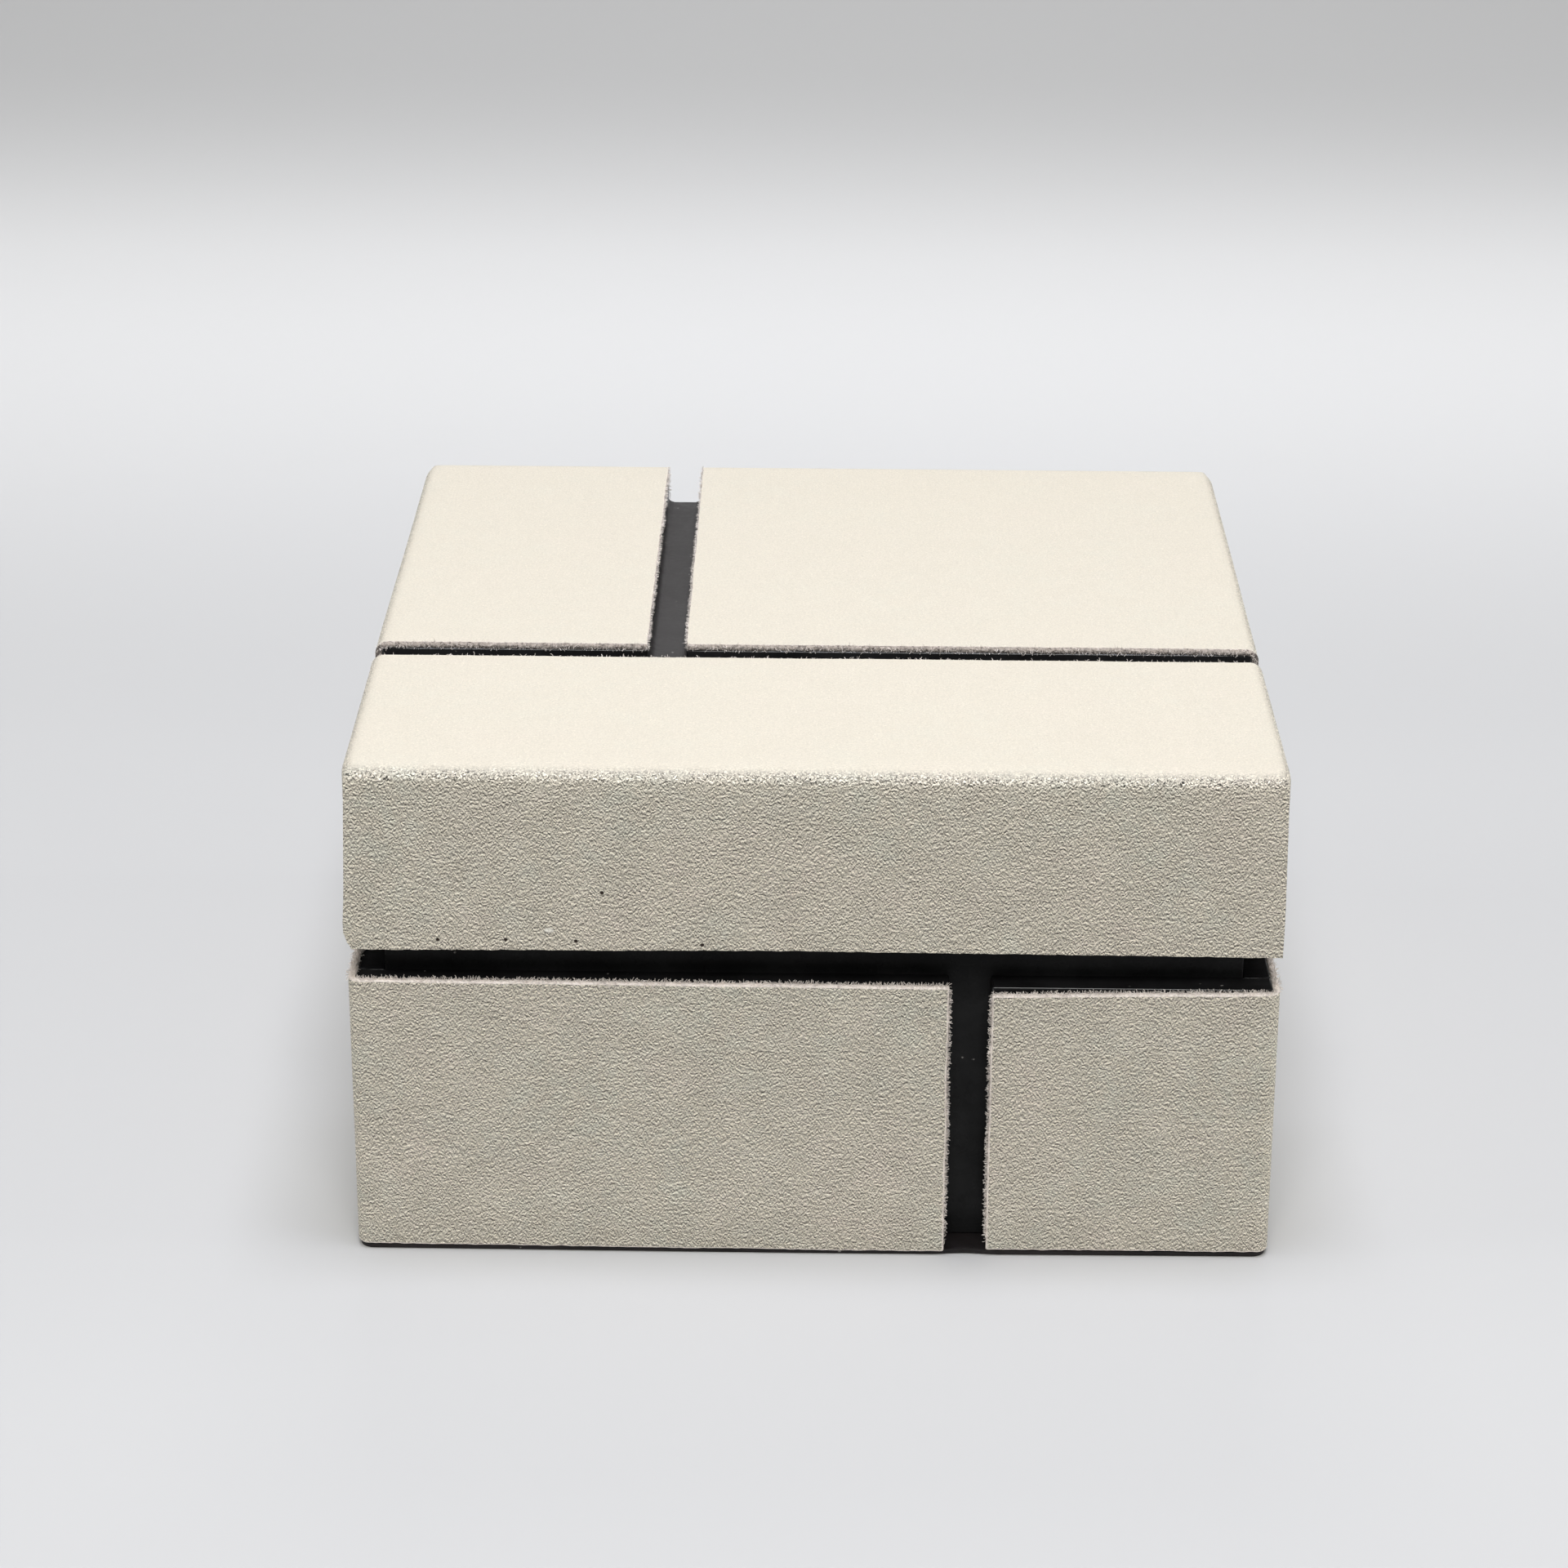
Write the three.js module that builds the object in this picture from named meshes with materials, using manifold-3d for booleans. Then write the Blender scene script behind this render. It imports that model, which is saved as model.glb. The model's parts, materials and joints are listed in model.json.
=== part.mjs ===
// Square keepsake box with a lift-off lid: a black board carcass, faced with raised panels that leave
// narrow sunk channels between them, and each group of panels covered by one folded, pebbled skin.
// Millimetres, +Z up. The origin is the centre of the underside, and the front looks along -Y.
import * as THREE from "three";
import { mergeVertices } from "three/addons/utils/BufferGeometryUtils.js";
import Module from "manifold-3d";

const wasm = await Module();
wasm.setup();

// Driving dimensions. Every one is a whole number of eighths, so neighbours meet face to face exactly.
const WIDTH = 200; // outside, along X and along Y
const HEIGHT = 115; // outside, with the lid on
const SKIN = 1.5; // thickness of the pebbled covering
const PANEL = 6; // raised panels; with the skin they make a channel 7.5 deep
const BOARD = 6; // carcass boards
const SHEET = 1; // covering sheet under the base
const SHEET_INSET = 0.5; // the sheet stops this far inside the outline
const LINER = 3; // boards that line the base and stand up inside the lid
const FELT = 1; // felt on the liner, the floor and the lid's ceiling
const FOLD_RADIUS = 3; // outer radius of a skin where it folds over an edge
const FOLD_STEPS = 6; // facets in a quarter turn of a fold

// Heights above the table
const BASE_PANEL_TOP = 64.75; // raised panels of the base
const SKIN_LEFT_TOP = 65.5; // the left skin stands a little proud of its panels
const SKIN_RIGHT_TOP = 64; // the right one stops a little short of them
const SKIN_FOOT = 1.125; // where both base skins start, just above the sheet
const PARTING = 71; // where the lid's walls come down on the base's walls
const PARTING_GAP = 0.25; // paint and dust between the two rims
const LID_EDGE = 73.5; // lower edge of the lid's panels and skins
const LINER_RISE = 8; // how far the liner stands up into the lid
const LID_CLEARANCE = 0.5; // between the liner and the lid's walls, on each side

// Channels, as distances from the centre
const LID_CROSS = [-34.75, -26.75]; // along Y: the channel that crosses the whole lid
const LID_SPLIT = [-38.25, -29.5]; // along X: the channel from there to the back
const BASE_FRONT_SPLIT = [29.25, 38.25]; // along X: the channel down the front of the base
const BASE_BACK_SPLIT = [-38.25, -29.25]; // along X: the same channel, turned half round, at the back

// Worked out from the above
const OUT = WIDTH / 2; // face of a skin
const FACE = OUT - SKIN; // face of a panel
const WALL = FACE - PANEL; // outer face of a carcass wall, which is the floor of a channel
const ROOM = WALL - BOARD; // inner face of a base wall
const LID_ROOM = ROOM + LID_CLEARANCE; // inner face of a lid wall
const LINED = ROOM - LINER; // inner face of the liner
const FELTED = LINED - FELT; // inner face of the felt
const PANEL_HIGH = HEIGHT - SKIN; // top of the lid's top panels
const CHANNEL_FLOOR = PANEL_HIGH - PANEL; // top of the lid's board
const LID_CEILING = CHANNEL_FLOOR - BOARD; // underside of the lid's board
const FLOOR_TOP = SHEET + BOARD; // top of the base's floor board
const WALL_TOP = PARTING - PARTING_GAP; // rim of the base's walls
const LINER_TOP = PARTING + LINER_RISE;

const finish = (color, roughness, metalness = 0) => new THREE.MeshStandardMaterial({ color, roughness, metalness });
const PALE_SKIN = finish(0xc9c2b1, 0.62);
const BLACK_PAINT = finish(0x17171a, 0.32);
const BLACK_PAPER = finish(0x121214, 0.6);
const GREY_FELT = finish(0x2b2b2f, 0.95);

// ---- Shapes -------------------------------------------------------------------------------------------------

// A block between two corners.
function block(low, high) {
  const size = high.map((value, k) => value - low[k]);
  const middle = high.map((value, k) => (value + low[k]) / 2);
  return new THREE.BoxGeometry(...size).translate(...middle);
}

// A rectangle about the origin with every corner rounded, standing `height` from `low`.
function roundedBlock(half, radius, low, height) {
  const shape = new THREE.Shape();
  const inner = half - radius;
  shape.absarc(inner, inner, radius, 0, Math.PI / 2);
  shape.absarc(-inner, inner, radius, Math.PI / 2, Math.PI);
  shape.absarc(-inner, -inner, radius, Math.PI, 1.5 * Math.PI);
  shape.absarc(inner, -inner, radius, 1.5 * Math.PI, 2 * Math.PI);
  const options = { depth: height, bevelEnabled: false, curveSegments: FOLD_STEPS };
  return new THREE.ExtrudeGeometry(shape, options).translate(0, 0, low);
}

// A block as wide as the box whose two upper long edges are rounded, running along Y.
function foldedBlock(low, high) {
  const shape = new THREE.Shape();
  shape.moveTo(-OUT, low);
  shape.lineTo(OUT, low);
  shape.absarc(OUT - FOLD_RADIUS, high - FOLD_RADIUS, FOLD_RADIUS, 0, Math.PI / 2);
  shape.absarc(-OUT + FOLD_RADIUS, high - FOLD_RADIUS, FOLD_RADIUS, Math.PI / 2, Math.PI);
  const options = { depth: WIDTH, bevelEnabled: false, curveSegments: FOLD_STEPS };
  return new THREE.ExtrudeGeometry(shape, options).rotateX(Math.PI / 2).translate(0, OUT, 0);
}

// A closed geometry as a solid that can be joined and cut.
function solid(geometry) {
  const bare = geometry.clone();
  bare.deleteAttribute("normal");
  bare.deleteAttribute("uv");
  const merged = mergeVertices(bare, 1e-4);
  const vertProperties = new Float32Array(merged.attributes.position.array);
  const triVerts = new Uint32Array(merged.index.array);
  return new wasm.Manifold(new wasm.Mesh({ numProp: 3, vertProperties, triVerts }));
}

// A solid back as a geometry.
function geometryOf(made) {
  const { numProp, numVert, vertProperties, triVerts } = made.getMesh();
  const positions = new Float32Array(numVert * 3);
  for (let i = 0; i < numVert; i++) {
    positions.set(vertProperties.subarray(i * numProp, i * numProp + 3), i * 3);
  }
  const geometry = new THREE.BufferGeometry();
  geometry.setAttribute("position", new THREE.BufferAttribute(positions, 3));
  geometry.setIndex(new THREE.BufferAttribute(new Uint32Array(triVerts), 1));
  const flat = geometry.toNonIndexed();
  flat.computeVertexNormals();
  return flat;
}

// The part of a hollow skin that lies between two corners.
const cutSkin = (shell, low, high) => geometryOf(shell.intersect(solid(block(low, high))));

// ---- Scene graph --------------------------------------------------------------------------------------------

const box = new THREE.Group();
const base = new THREE.Group();
const lid = new THREE.Group();
box.add(base, lid);

function add(group, name, material, geometry) {
  const mesh = new THREE.Mesh(geometry, material);
  mesh.name = name;
  group.add(mesh);
}

// Four boards that make a square frame: the front and back ones run past the ends of the side ones.
function addFrame(group, prefix, material, outer, inner, low, high) {
  add(group, `${prefix}_front`, material, block([-outer, -outer, low], [outer, -inner, high]));
  add(group, `${prefix}_back`, material, block([-outer, inner, low], [outer, outer, high]));
  add(group, `${prefix}_left`, material, block([-outer, -inner, low], [-inner, inner, high]));
  add(group, `${prefix}_right`, material, block([inner, -inner, low], [outer, inner, high]));
}

// Raised panels on the four sides. A split is the channel that parts the panels of one side.
function addSidePanels(group, prefix, low, high, splits) {
  for (const [side, at] of Object.entries({ front: [-FACE, -WALL], back: [WALL, FACE] })) {
    for (const [end, from, to] of spans(FACE, splits[side], ["left", "right"])) {
      add(group, `${prefix}_${side}${end}`, BLACK_PAINT, block([from, at[0], low], [to, at[1], high]));
    }
  }
  for (const [side, at] of Object.entries({ left: [-FACE, -WALL], right: [WALL, FACE] })) {
    for (const [end, from, to] of spans(WALL, splits[side], ["front", "rear"])) {
      add(group, `${prefix}_${side}${end}`, BLACK_PAINT, block([at[0], from, low], [at[1], to, high]));
    }
  }
}

// The stretches that a channel leaves of a side that runs from -half to half, with the ending of each name.
function spans(half, split, ends) {
  if (!split) return [["", -half, half]];
  return [
    [`_${ends[0]}`, -half, split[0]],
    [`_${ends[1]}`, split[1], half],
  ];
}

// ---- Base ---------------------------------------------------------------------------------------------------

add(base, "base_sheet", BLACK_PAPER, roundedBlock(OUT - SHEET_INSET, FOLD_RADIUS, 0, SHEET));
add(base, "base_floor", BLACK_PAINT, block([-ROOM, -ROOM, SHEET], [ROOM, ROOM, FLOOR_TOP]));
addFrame(base, "base_wall", BLACK_PAINT, WALL, ROOM, SHEET, WALL_TOP);
addSidePanels(base, "base_panel", SHEET, BASE_PANEL_TOP, { front: BASE_FRONT_SPLIT, back: BASE_BACK_SPLIT });

const baseShell = solid(roundedBlock(OUT, FOLD_RADIUS, SKIN_FOOT, SKIN_LEFT_TOP - SKIN_FOOT)).subtract(
  solid(block([-FACE, -FACE, 0], [FACE, FACE, HEIGHT])),
);
// Each base skin wraps from the front channel round one side to the back channel.
const leftOfBase = solid(block([-OUT, -OUT, 0], [BASE_FRONT_SPLIT[0], 0, SKIN_LEFT_TOP])).add(
  solid(block([-OUT, 0, 0], [BASE_BACK_SPLIT[0], OUT, SKIN_LEFT_TOP])),
);
const rightOfBase = solid(block([BASE_FRONT_SPLIT[1], -OUT, 0], [OUT, 0, SKIN_RIGHT_TOP])).add(
  solid(block([BASE_BACK_SPLIT[1], 0, 0], [OUT, OUT, SKIN_RIGHT_TOP])),
);
add(base, "base_skin_left", PALE_SKIN, geometryOf(baseShell.intersect(leftOfBase)));
add(base, "base_skin_right", PALE_SKIN, geometryOf(baseShell.intersect(rightOfBase)));

// The liner stands on the floor board, and its upper edge locates the lid.
addFrame(base, "liner", BLACK_PAINT, ROOM, LINED, FLOOR_TOP, LINER_TOP);
addFrame(base, "liner_felt", GREY_FELT, LINED, FELTED, FLOOR_TOP, LINER_TOP - FELT);
add(base, "floor_felt", GREY_FELT, block([-FELTED, -FELTED, FLOOR_TOP], [FELTED, FELTED, FLOOR_TOP + FELT]));

// ---- Lid ----------------------------------------------------------------------------------------------------

add(lid, "lid_board", BLACK_PAINT, block([-WALL, -WALL, LID_CEILING], [WALL, WALL, CHANNEL_FLOOR]));
addFrame(lid, "lid_wall", BLACK_PAINT, WALL, LID_ROOM, PARTING, LID_CEILING);
addSidePanels(lid, "lid_panel", LID_EDGE, CHANNEL_FLOOR, { back: LID_SPLIT, left: LID_CROSS, right: LID_CROSS });

// The three fields of the lid's top, each as a pair of corners in plan.
const FIELDS = {
  front: [
    [-OUT, -OUT],
    [OUT, LID_CROSS[0]],
  ],
  rear_left: [
    [-OUT, LID_CROSS[1]],
    [LID_SPLIT[0], OUT],
  ],
  rear_right: [
    [LID_SPLIT[1], LID_CROSS[1]],
    [OUT, OUT],
  ],
};
const lidShell = solid(foldedBlock(LID_EDGE, HEIGHT))
  .intersect(solid(foldedBlock(LID_EDGE, HEIGHT).rotateZ(Math.PI / 2)))
  .subtract(solid(block([-FACE, -FACE, 0], [FACE, FACE, PANEL_HIGH])));
const ontoPanels = (value) => Math.min(Math.max(value, -FACE), FACE);

for (const [name, [low, high]] of Object.entries(FIELDS)) {
  const top = block([...low.map(ontoPanels), CHANNEL_FLOOR], [...high.map(ontoPanels), PANEL_HIGH]);
  add(lid, `lid_top_panel_${name}`, BLACK_PAINT, top);
  add(lid, `lid_skin_${name}`, PALE_SKIN, cutSkin(lidShell, [...low, 0], [...high, HEIGHT]));
}
const ceiling = block([-LID_ROOM, -LID_ROOM, LID_CEILING - FELT], [LID_ROOM, LID_ROOM, LID_CEILING]);
add(lid, "lid_felt", GREY_FELT, ceiling);

export default box;
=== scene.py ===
"""Dresses a square keepsake box: black boards, folded pebbled skins with frayed cut edges, felt, a plain set.

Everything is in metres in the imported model's own frame: +Z up, the front towards -Y. Sizes come from the
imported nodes' boxes, and small irregularities of a handmade box are added to them.
"""

import json
import logging
import math
from collections.abc import Callable, Iterable, Sequence
from dataclasses import dataclass, field
from enum import Enum
from typing import Any

import bmesh
import bpy
from mathutils import Matrix, Vector, noise


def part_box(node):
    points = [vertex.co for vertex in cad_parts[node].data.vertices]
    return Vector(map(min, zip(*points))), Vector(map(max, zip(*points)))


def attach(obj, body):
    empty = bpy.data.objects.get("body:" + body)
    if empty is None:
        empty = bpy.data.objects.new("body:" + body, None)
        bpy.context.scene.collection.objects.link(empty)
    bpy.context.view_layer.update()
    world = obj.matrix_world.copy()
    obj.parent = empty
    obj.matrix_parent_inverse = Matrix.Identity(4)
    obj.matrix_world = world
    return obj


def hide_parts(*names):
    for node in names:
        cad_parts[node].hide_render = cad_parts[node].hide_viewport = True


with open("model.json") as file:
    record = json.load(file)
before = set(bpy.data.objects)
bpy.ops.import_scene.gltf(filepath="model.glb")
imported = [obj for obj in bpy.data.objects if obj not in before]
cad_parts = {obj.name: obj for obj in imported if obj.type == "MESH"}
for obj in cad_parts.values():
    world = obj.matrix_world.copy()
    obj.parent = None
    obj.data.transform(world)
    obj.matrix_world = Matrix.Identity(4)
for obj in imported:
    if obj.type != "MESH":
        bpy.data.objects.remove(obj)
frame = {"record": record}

log = logging.getLogger("keepsake_box")
MM = 0.001
TINY = 1e-6

Socket = bpy.types.NodeSocket
Material = bpy.types.Material
Piece = bpy.types.Object
Mesh = bpy.types.Mesh
Tree = bpy.types.NodeTree
Node = bpy.types.Node

Point = tuple[float, float, float]
Pair = tuple[float, float]
Colour = tuple[float, float, float]


class Body(Enum):
    """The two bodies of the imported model."""

    BASE = "base"
    LID = "lid"


class Slot(Enum):
    """The record's material slots."""

    SKIN = "pale_skin"
    PAINT = "black_paint"
    PAPER = "black_paper"
    FELT = "grey_felt"


class Side(Enum):
    """A side of the box, as the way it faces in plan."""

    FRONT = (0, -1)
    RIGHT = (1, 0)
    BACK = (0, 1)
    LEFT = (-1, 0)


# ---- Node graphs


class Graph:
    """A node tree under construction, with short calls that add and join nodes."""

    def __init__(self, tree: Tree) -> None:
        """Keeps the empty shader or geometry tree that nodes are added to."""
        self.tree = tree

    def add(self, kind: str, inputs: dict[Any, Any] | None = None, **settings: Any) -> Node:
        """Adds a node.

        Args:
            kind: the node's type name.
            inputs: values or output sockets, by input name or number.
            **settings: the node's own properties.

        Returns:
            The new node.
        """
        node = self.tree.nodes.new(kind)
        for name, value in settings.items():
            setattr(node, name, value)
        for name, value in (inputs or {}).items():
            self.join(value, node.inputs[name])
        return node

    def join(self, value: Any, socket: Socket) -> None:
        """Links an output to an input, or sets the input's own value."""
        if isinstance(value, Socket):
            self.tree.links.new(value, socket)
        else:
            socket.default_value = value

    def math(self, operation: str, *values: Any) -> Socket:
        """Adds a Math node for up to three numbers or sockets, and returns its output."""
        return self.add("ShaderNodeMath", dict(enumerate(values)), operation=operation).outputs[0]

    def vector(self, operation: str, *values: Any) -> Socket:
        """Adds a Vector Math node for up to three vectors or sockets, and returns its output."""
        node = self.add("ShaderNodeVectorMath", dict(enumerate(values)), operation=operation)
        return node.outputs["Value" if operation == "LENGTH" else "Vector"]

    def grey(self, value: Any) -> Socket:
        """Makes a grey, which may be brighter than 1, from one value."""
        return self.add("ShaderNodeCombineXYZ", {0: value, 1: value, 2: value}).outputs[0]

    def height_of(self, place: Any) -> Socket:
        """Splits the height off a place."""
        return self.add("ShaderNodeSeparateXYZ", {0: place}).outputs["Z"]

    def mix(self, share: Any, first: Any, second: Any, blend: str = "MIX") -> Socket:
        """Mixes two colours, of which the second shows by its share."""
        inputs = {0: share, 6: opaque(first), 7: opaque(second)}
        return self.add("ShaderNodeMix", inputs, data_type="RGBA", blend_type=blend).outputs[2]

    def remap(self, value: Any, low: Any, high: Any, to_low: float = 0.0, to_high: float = 1.0) -> Any:
        """Carries a value smoothly from the range low to high over to the range to_low to to_high."""
        inputs = {"Value": value, "From Min": low, "From Max": high, "To Min": to_low, "To Max": to_high}
        return self.add("ShaderNodeMapRange", inputs, interpolation_type="SMOOTHSTEP").outputs[0]

    def noise(self, vector: Any, scale: Any, detail: float = 2.0, **more: Any) -> Node:
        """Adds a Noise texture with so many features per metre, and octaves of detail."""
        inputs = {"Vector": vector, "Scale": scale, "Detail": detail}
        return self.add("ShaderNodeTexNoise", inputs | more)

    def use(self, group: Tree, inputs: dict[str, Any]) -> Node:
        """Places a shared group, with values or sockets by name."""
        return self.add("ShaderNodeGroup", inputs, node_tree=group)

    def geo(self, kind: str, inputs: dict[Any, Any] | None = None, **settings: Any) -> Socket:
        """Adds a geometry node by its short name, and returns its first output."""
        return self.add(f"GeometryNode{kind}", inputs, **settings).outputs[0]

    def place(self) -> Socket:
        """Adds Object coordinates and returns their socket."""
        return self.add("ShaderNodeTexCoord").outputs["Object"]

    def bump(self, height: Any, distance: float, **under: Any) -> Socket:
        """Turns a height from 0 to 1 into a normal, with its relief in metres, over a Normal if given."""
        inputs = {"Strength": 1.0, "Distance": distance, "Height": height}
        return self.add("ShaderNodeBump", inputs | under).outputs[0]


def opaque(value: Any) -> Any:
    """Gives a plain colour an alpha of 1, and leaves a socket as it is."""
    return (*value, 1.0) if isinstance(value, tuple) and len(value) == 3 else value


def node_group(name: str, kind: str, inputs: dict[str, tuple[str, Any]],
               outputs: dict[str, str]) -> tuple[Graph, Any, Any]:
    """Starts a node group.

    Args:
        name: the group's name.
        kind: Shader or Geometry.
        inputs: each input's name, with its kind of socket and its default.
        outputs: each output's name, with its kind of socket.

    Returns:
        The graph, its input node and its output node.
    """
    tree = bpy.data.node_groups.new(name, f"{kind}NodeTree")
    for label, (socket_kind, default) in inputs.items():
        socket = tree.interface.new_socket(name=label, in_out="INPUT", socket_type=f"NodeSocket{socket_kind}")
        if default is not None:
            socket.default_value = default
    for label, socket_kind in outputs.items():
        tree.interface.new_socket(name=label, in_out="OUTPUT", socket_type=f"NodeSocket{socket_kind}")
    graph = Graph(tree)
    return graph, graph.add("NodeGroupInput"), graph.add("NodeGroupOutput")


def set_inputs(modifier: bpy.types.NodesModifier, values: dict[str, Any]) -> None:
    """Sets a geometry nodes modifier's inputs by name."""
    for item in modifier.node_group.interface.items_tree:
        if item.item_type == "SOCKET" and item.in_out == "INPUT" and item.name in values:
            modifier[item.identifier] = values[item.name]


@dataclass(frozen=True)
class Effects:
    """The shader groups that several finishes share."""

    pebbles: Tree
    mottle: Tree
    dust: Tree

    @classmethod
    def build(cls) -> "Effects":
        """Builds each group once."""
        return cls(cls.pebble_grain(), cls.mottling(), cls.dust_specks())

    @staticmethod
    def pebble_grain() -> Tree:
        """Makes the embossed grain's height, 0 to 1: small domed pebbles parted by winding creases."""
        inputs = {"Vector": ("Vector", None), "Size": ("Float", 0.9 * MM), "Stretch": ("Float", 1.3)}
        graph, source, target = node_group("pebble_grain", "Shader", inputs, {"Height": "Float"})
        across = graph.math("MULTIPLY", source.outputs["Size"], source.outputs["Stretch"])
        cell = graph.add("ShaderNodeCombineXYZ", {0: across, 1: across, 2: source.outputs["Size"]})
        place = graph.vector("DIVIDE", source.outputs["Vector"], cell.outputs[0])
        drift = graph.vector("SUBTRACT", graph.noise(place, 0.45, 1.0).outputs["Color"], (0.5, 0.5, 0.5))
        bent = graph.vector("MULTIPLY_ADD", drift, (1.6, 1.6, 1.6), place)
        folded = graph.math("MULTIPLY_ADD", graph.noise(bent, 0.62, 0.0).outputs[0], 2.0, -1.0)
        dome = graph.remap(graph.math("ABSOLUTE", folded), 0.0, 0.36)
        fine = graph.remap(graph.noise(bent, 1.15, 1.0, Roughness=0.4).outputs[0], 0.25, 0.75)
        height = graph.math("MULTIPLY_ADD", fine, 0.82, graph.math("MULTIPLY", dome, 0.18))
        graph.join(height, target.inputs["Height"])
        return graph.tree

    @staticmethod
    def mottling() -> Tree:
        """Makes two masks of broad uneven patches, 0 to 1."""
        inputs = {"Vector": ("Vector", None), "Size": ("Float", 12 * MM)}
        outputs = {"Patches": "Float", "Flecks": "Float"}
        graph, source, target = node_group("mottling", "Shader", inputs, outputs)
        scale = graph.math("DIVIDE", 1.0, source.outputs["Size"])
        patches = graph.noise(source.outputs["Vector"], scale, 3.0, Roughness=0.6).outputs[0]
        finer = graph.math("MULTIPLY", scale, 4.7)
        flecks = graph.noise(source.outputs["Vector"], finer, 4.0, Roughness=0.62).outputs[0]
        graph.join(graph.remap(patches, 0.32, 0.68), target.inputs["Patches"])
        graph.join(graph.remap(flecks, 0.38, 0.66), target.inputs["Flecks"])
        return graph.tree

    @staticmethod
    def dust_specks() -> Tree:
        """Makes a mask of sparse small specks of lint and dust, 0 to 1."""
        inputs = {"Vector": ("Vector", None), "Spacing": ("Float", 1.6 * MM), "Amount": ("Float", 0.3)}
        graph, source, target = node_group("dust_specks", "Shader", inputs, {"Specks": "Float"})
        scale = graph.math("DIVIDE", 1.0, source.outputs["Spacing"])
        finer = graph.math("MULTIPLY", scale, 3.0)
        wobble = graph.noise(source.outputs["Vector"], finer, 1.0).outputs["Color"]
        reach = graph.math("MULTIPLY", source.outputs["Spacing"], 0.35)
        bend = graph.add("ShaderNodeVectorMath", {0: wobble, "Scale": reach}, operation="SCALE").outputs[0]
        place = graph.vector("ADD", source.outputs["Vector"], bend)
        cells = graph.add("ShaderNodeTexVoronoi", {"Vector": place, "Scale": scale}, feature="F1")
        chance = graph.add("ShaderNodeSeparateColor", {0: cells.outputs["Color"]}).outputs[0]
        lucky = graph.math("LESS_THAN", chance, source.outputs["Amount"])
        near = graph.remap(cells.outputs["Distance"], 0.05, 0.16, 1.0, 0.0)
        graph.join(graph.math("MULTIPLY", near, lucky), target.inputs["Specks"])
        return graph.tree


# ---- Finishes


@dataclass(frozen=True)
class Finish:
    """A surface finish that builds its own material."""

    name: str
    colour: Colour
    roughness: float
    specular: float

    def build(self, effects: Effects) -> Material:
        """Builds the material: a Principled shader, with what the kind of finish adds."""
        material = bpy.data.materials.new(self.name)
        material.use_nodes = True
        material.node_tree.nodes.clear()
        graph = Graph(material.node_tree)
        settings = {"Base Color": opaque(self.colour), "Roughness": self.roughness}
        shader = graph.add("ShaderNodeBsdfPrincipled", settings | {"Specular IOR Level": self.specular})
        out = graph.add("ShaderNodeOutputMaterial")
        graph.join(shader.outputs[0], out.inputs["Surface"])
        self.coat(graph, shader, effects)
        return material

    def coat(self, graph: Graph, shader: Node, effects: Effects) -> None:
        """Wires what varies over the surface into the shader; a plain finish has nothing to add."""


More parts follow.
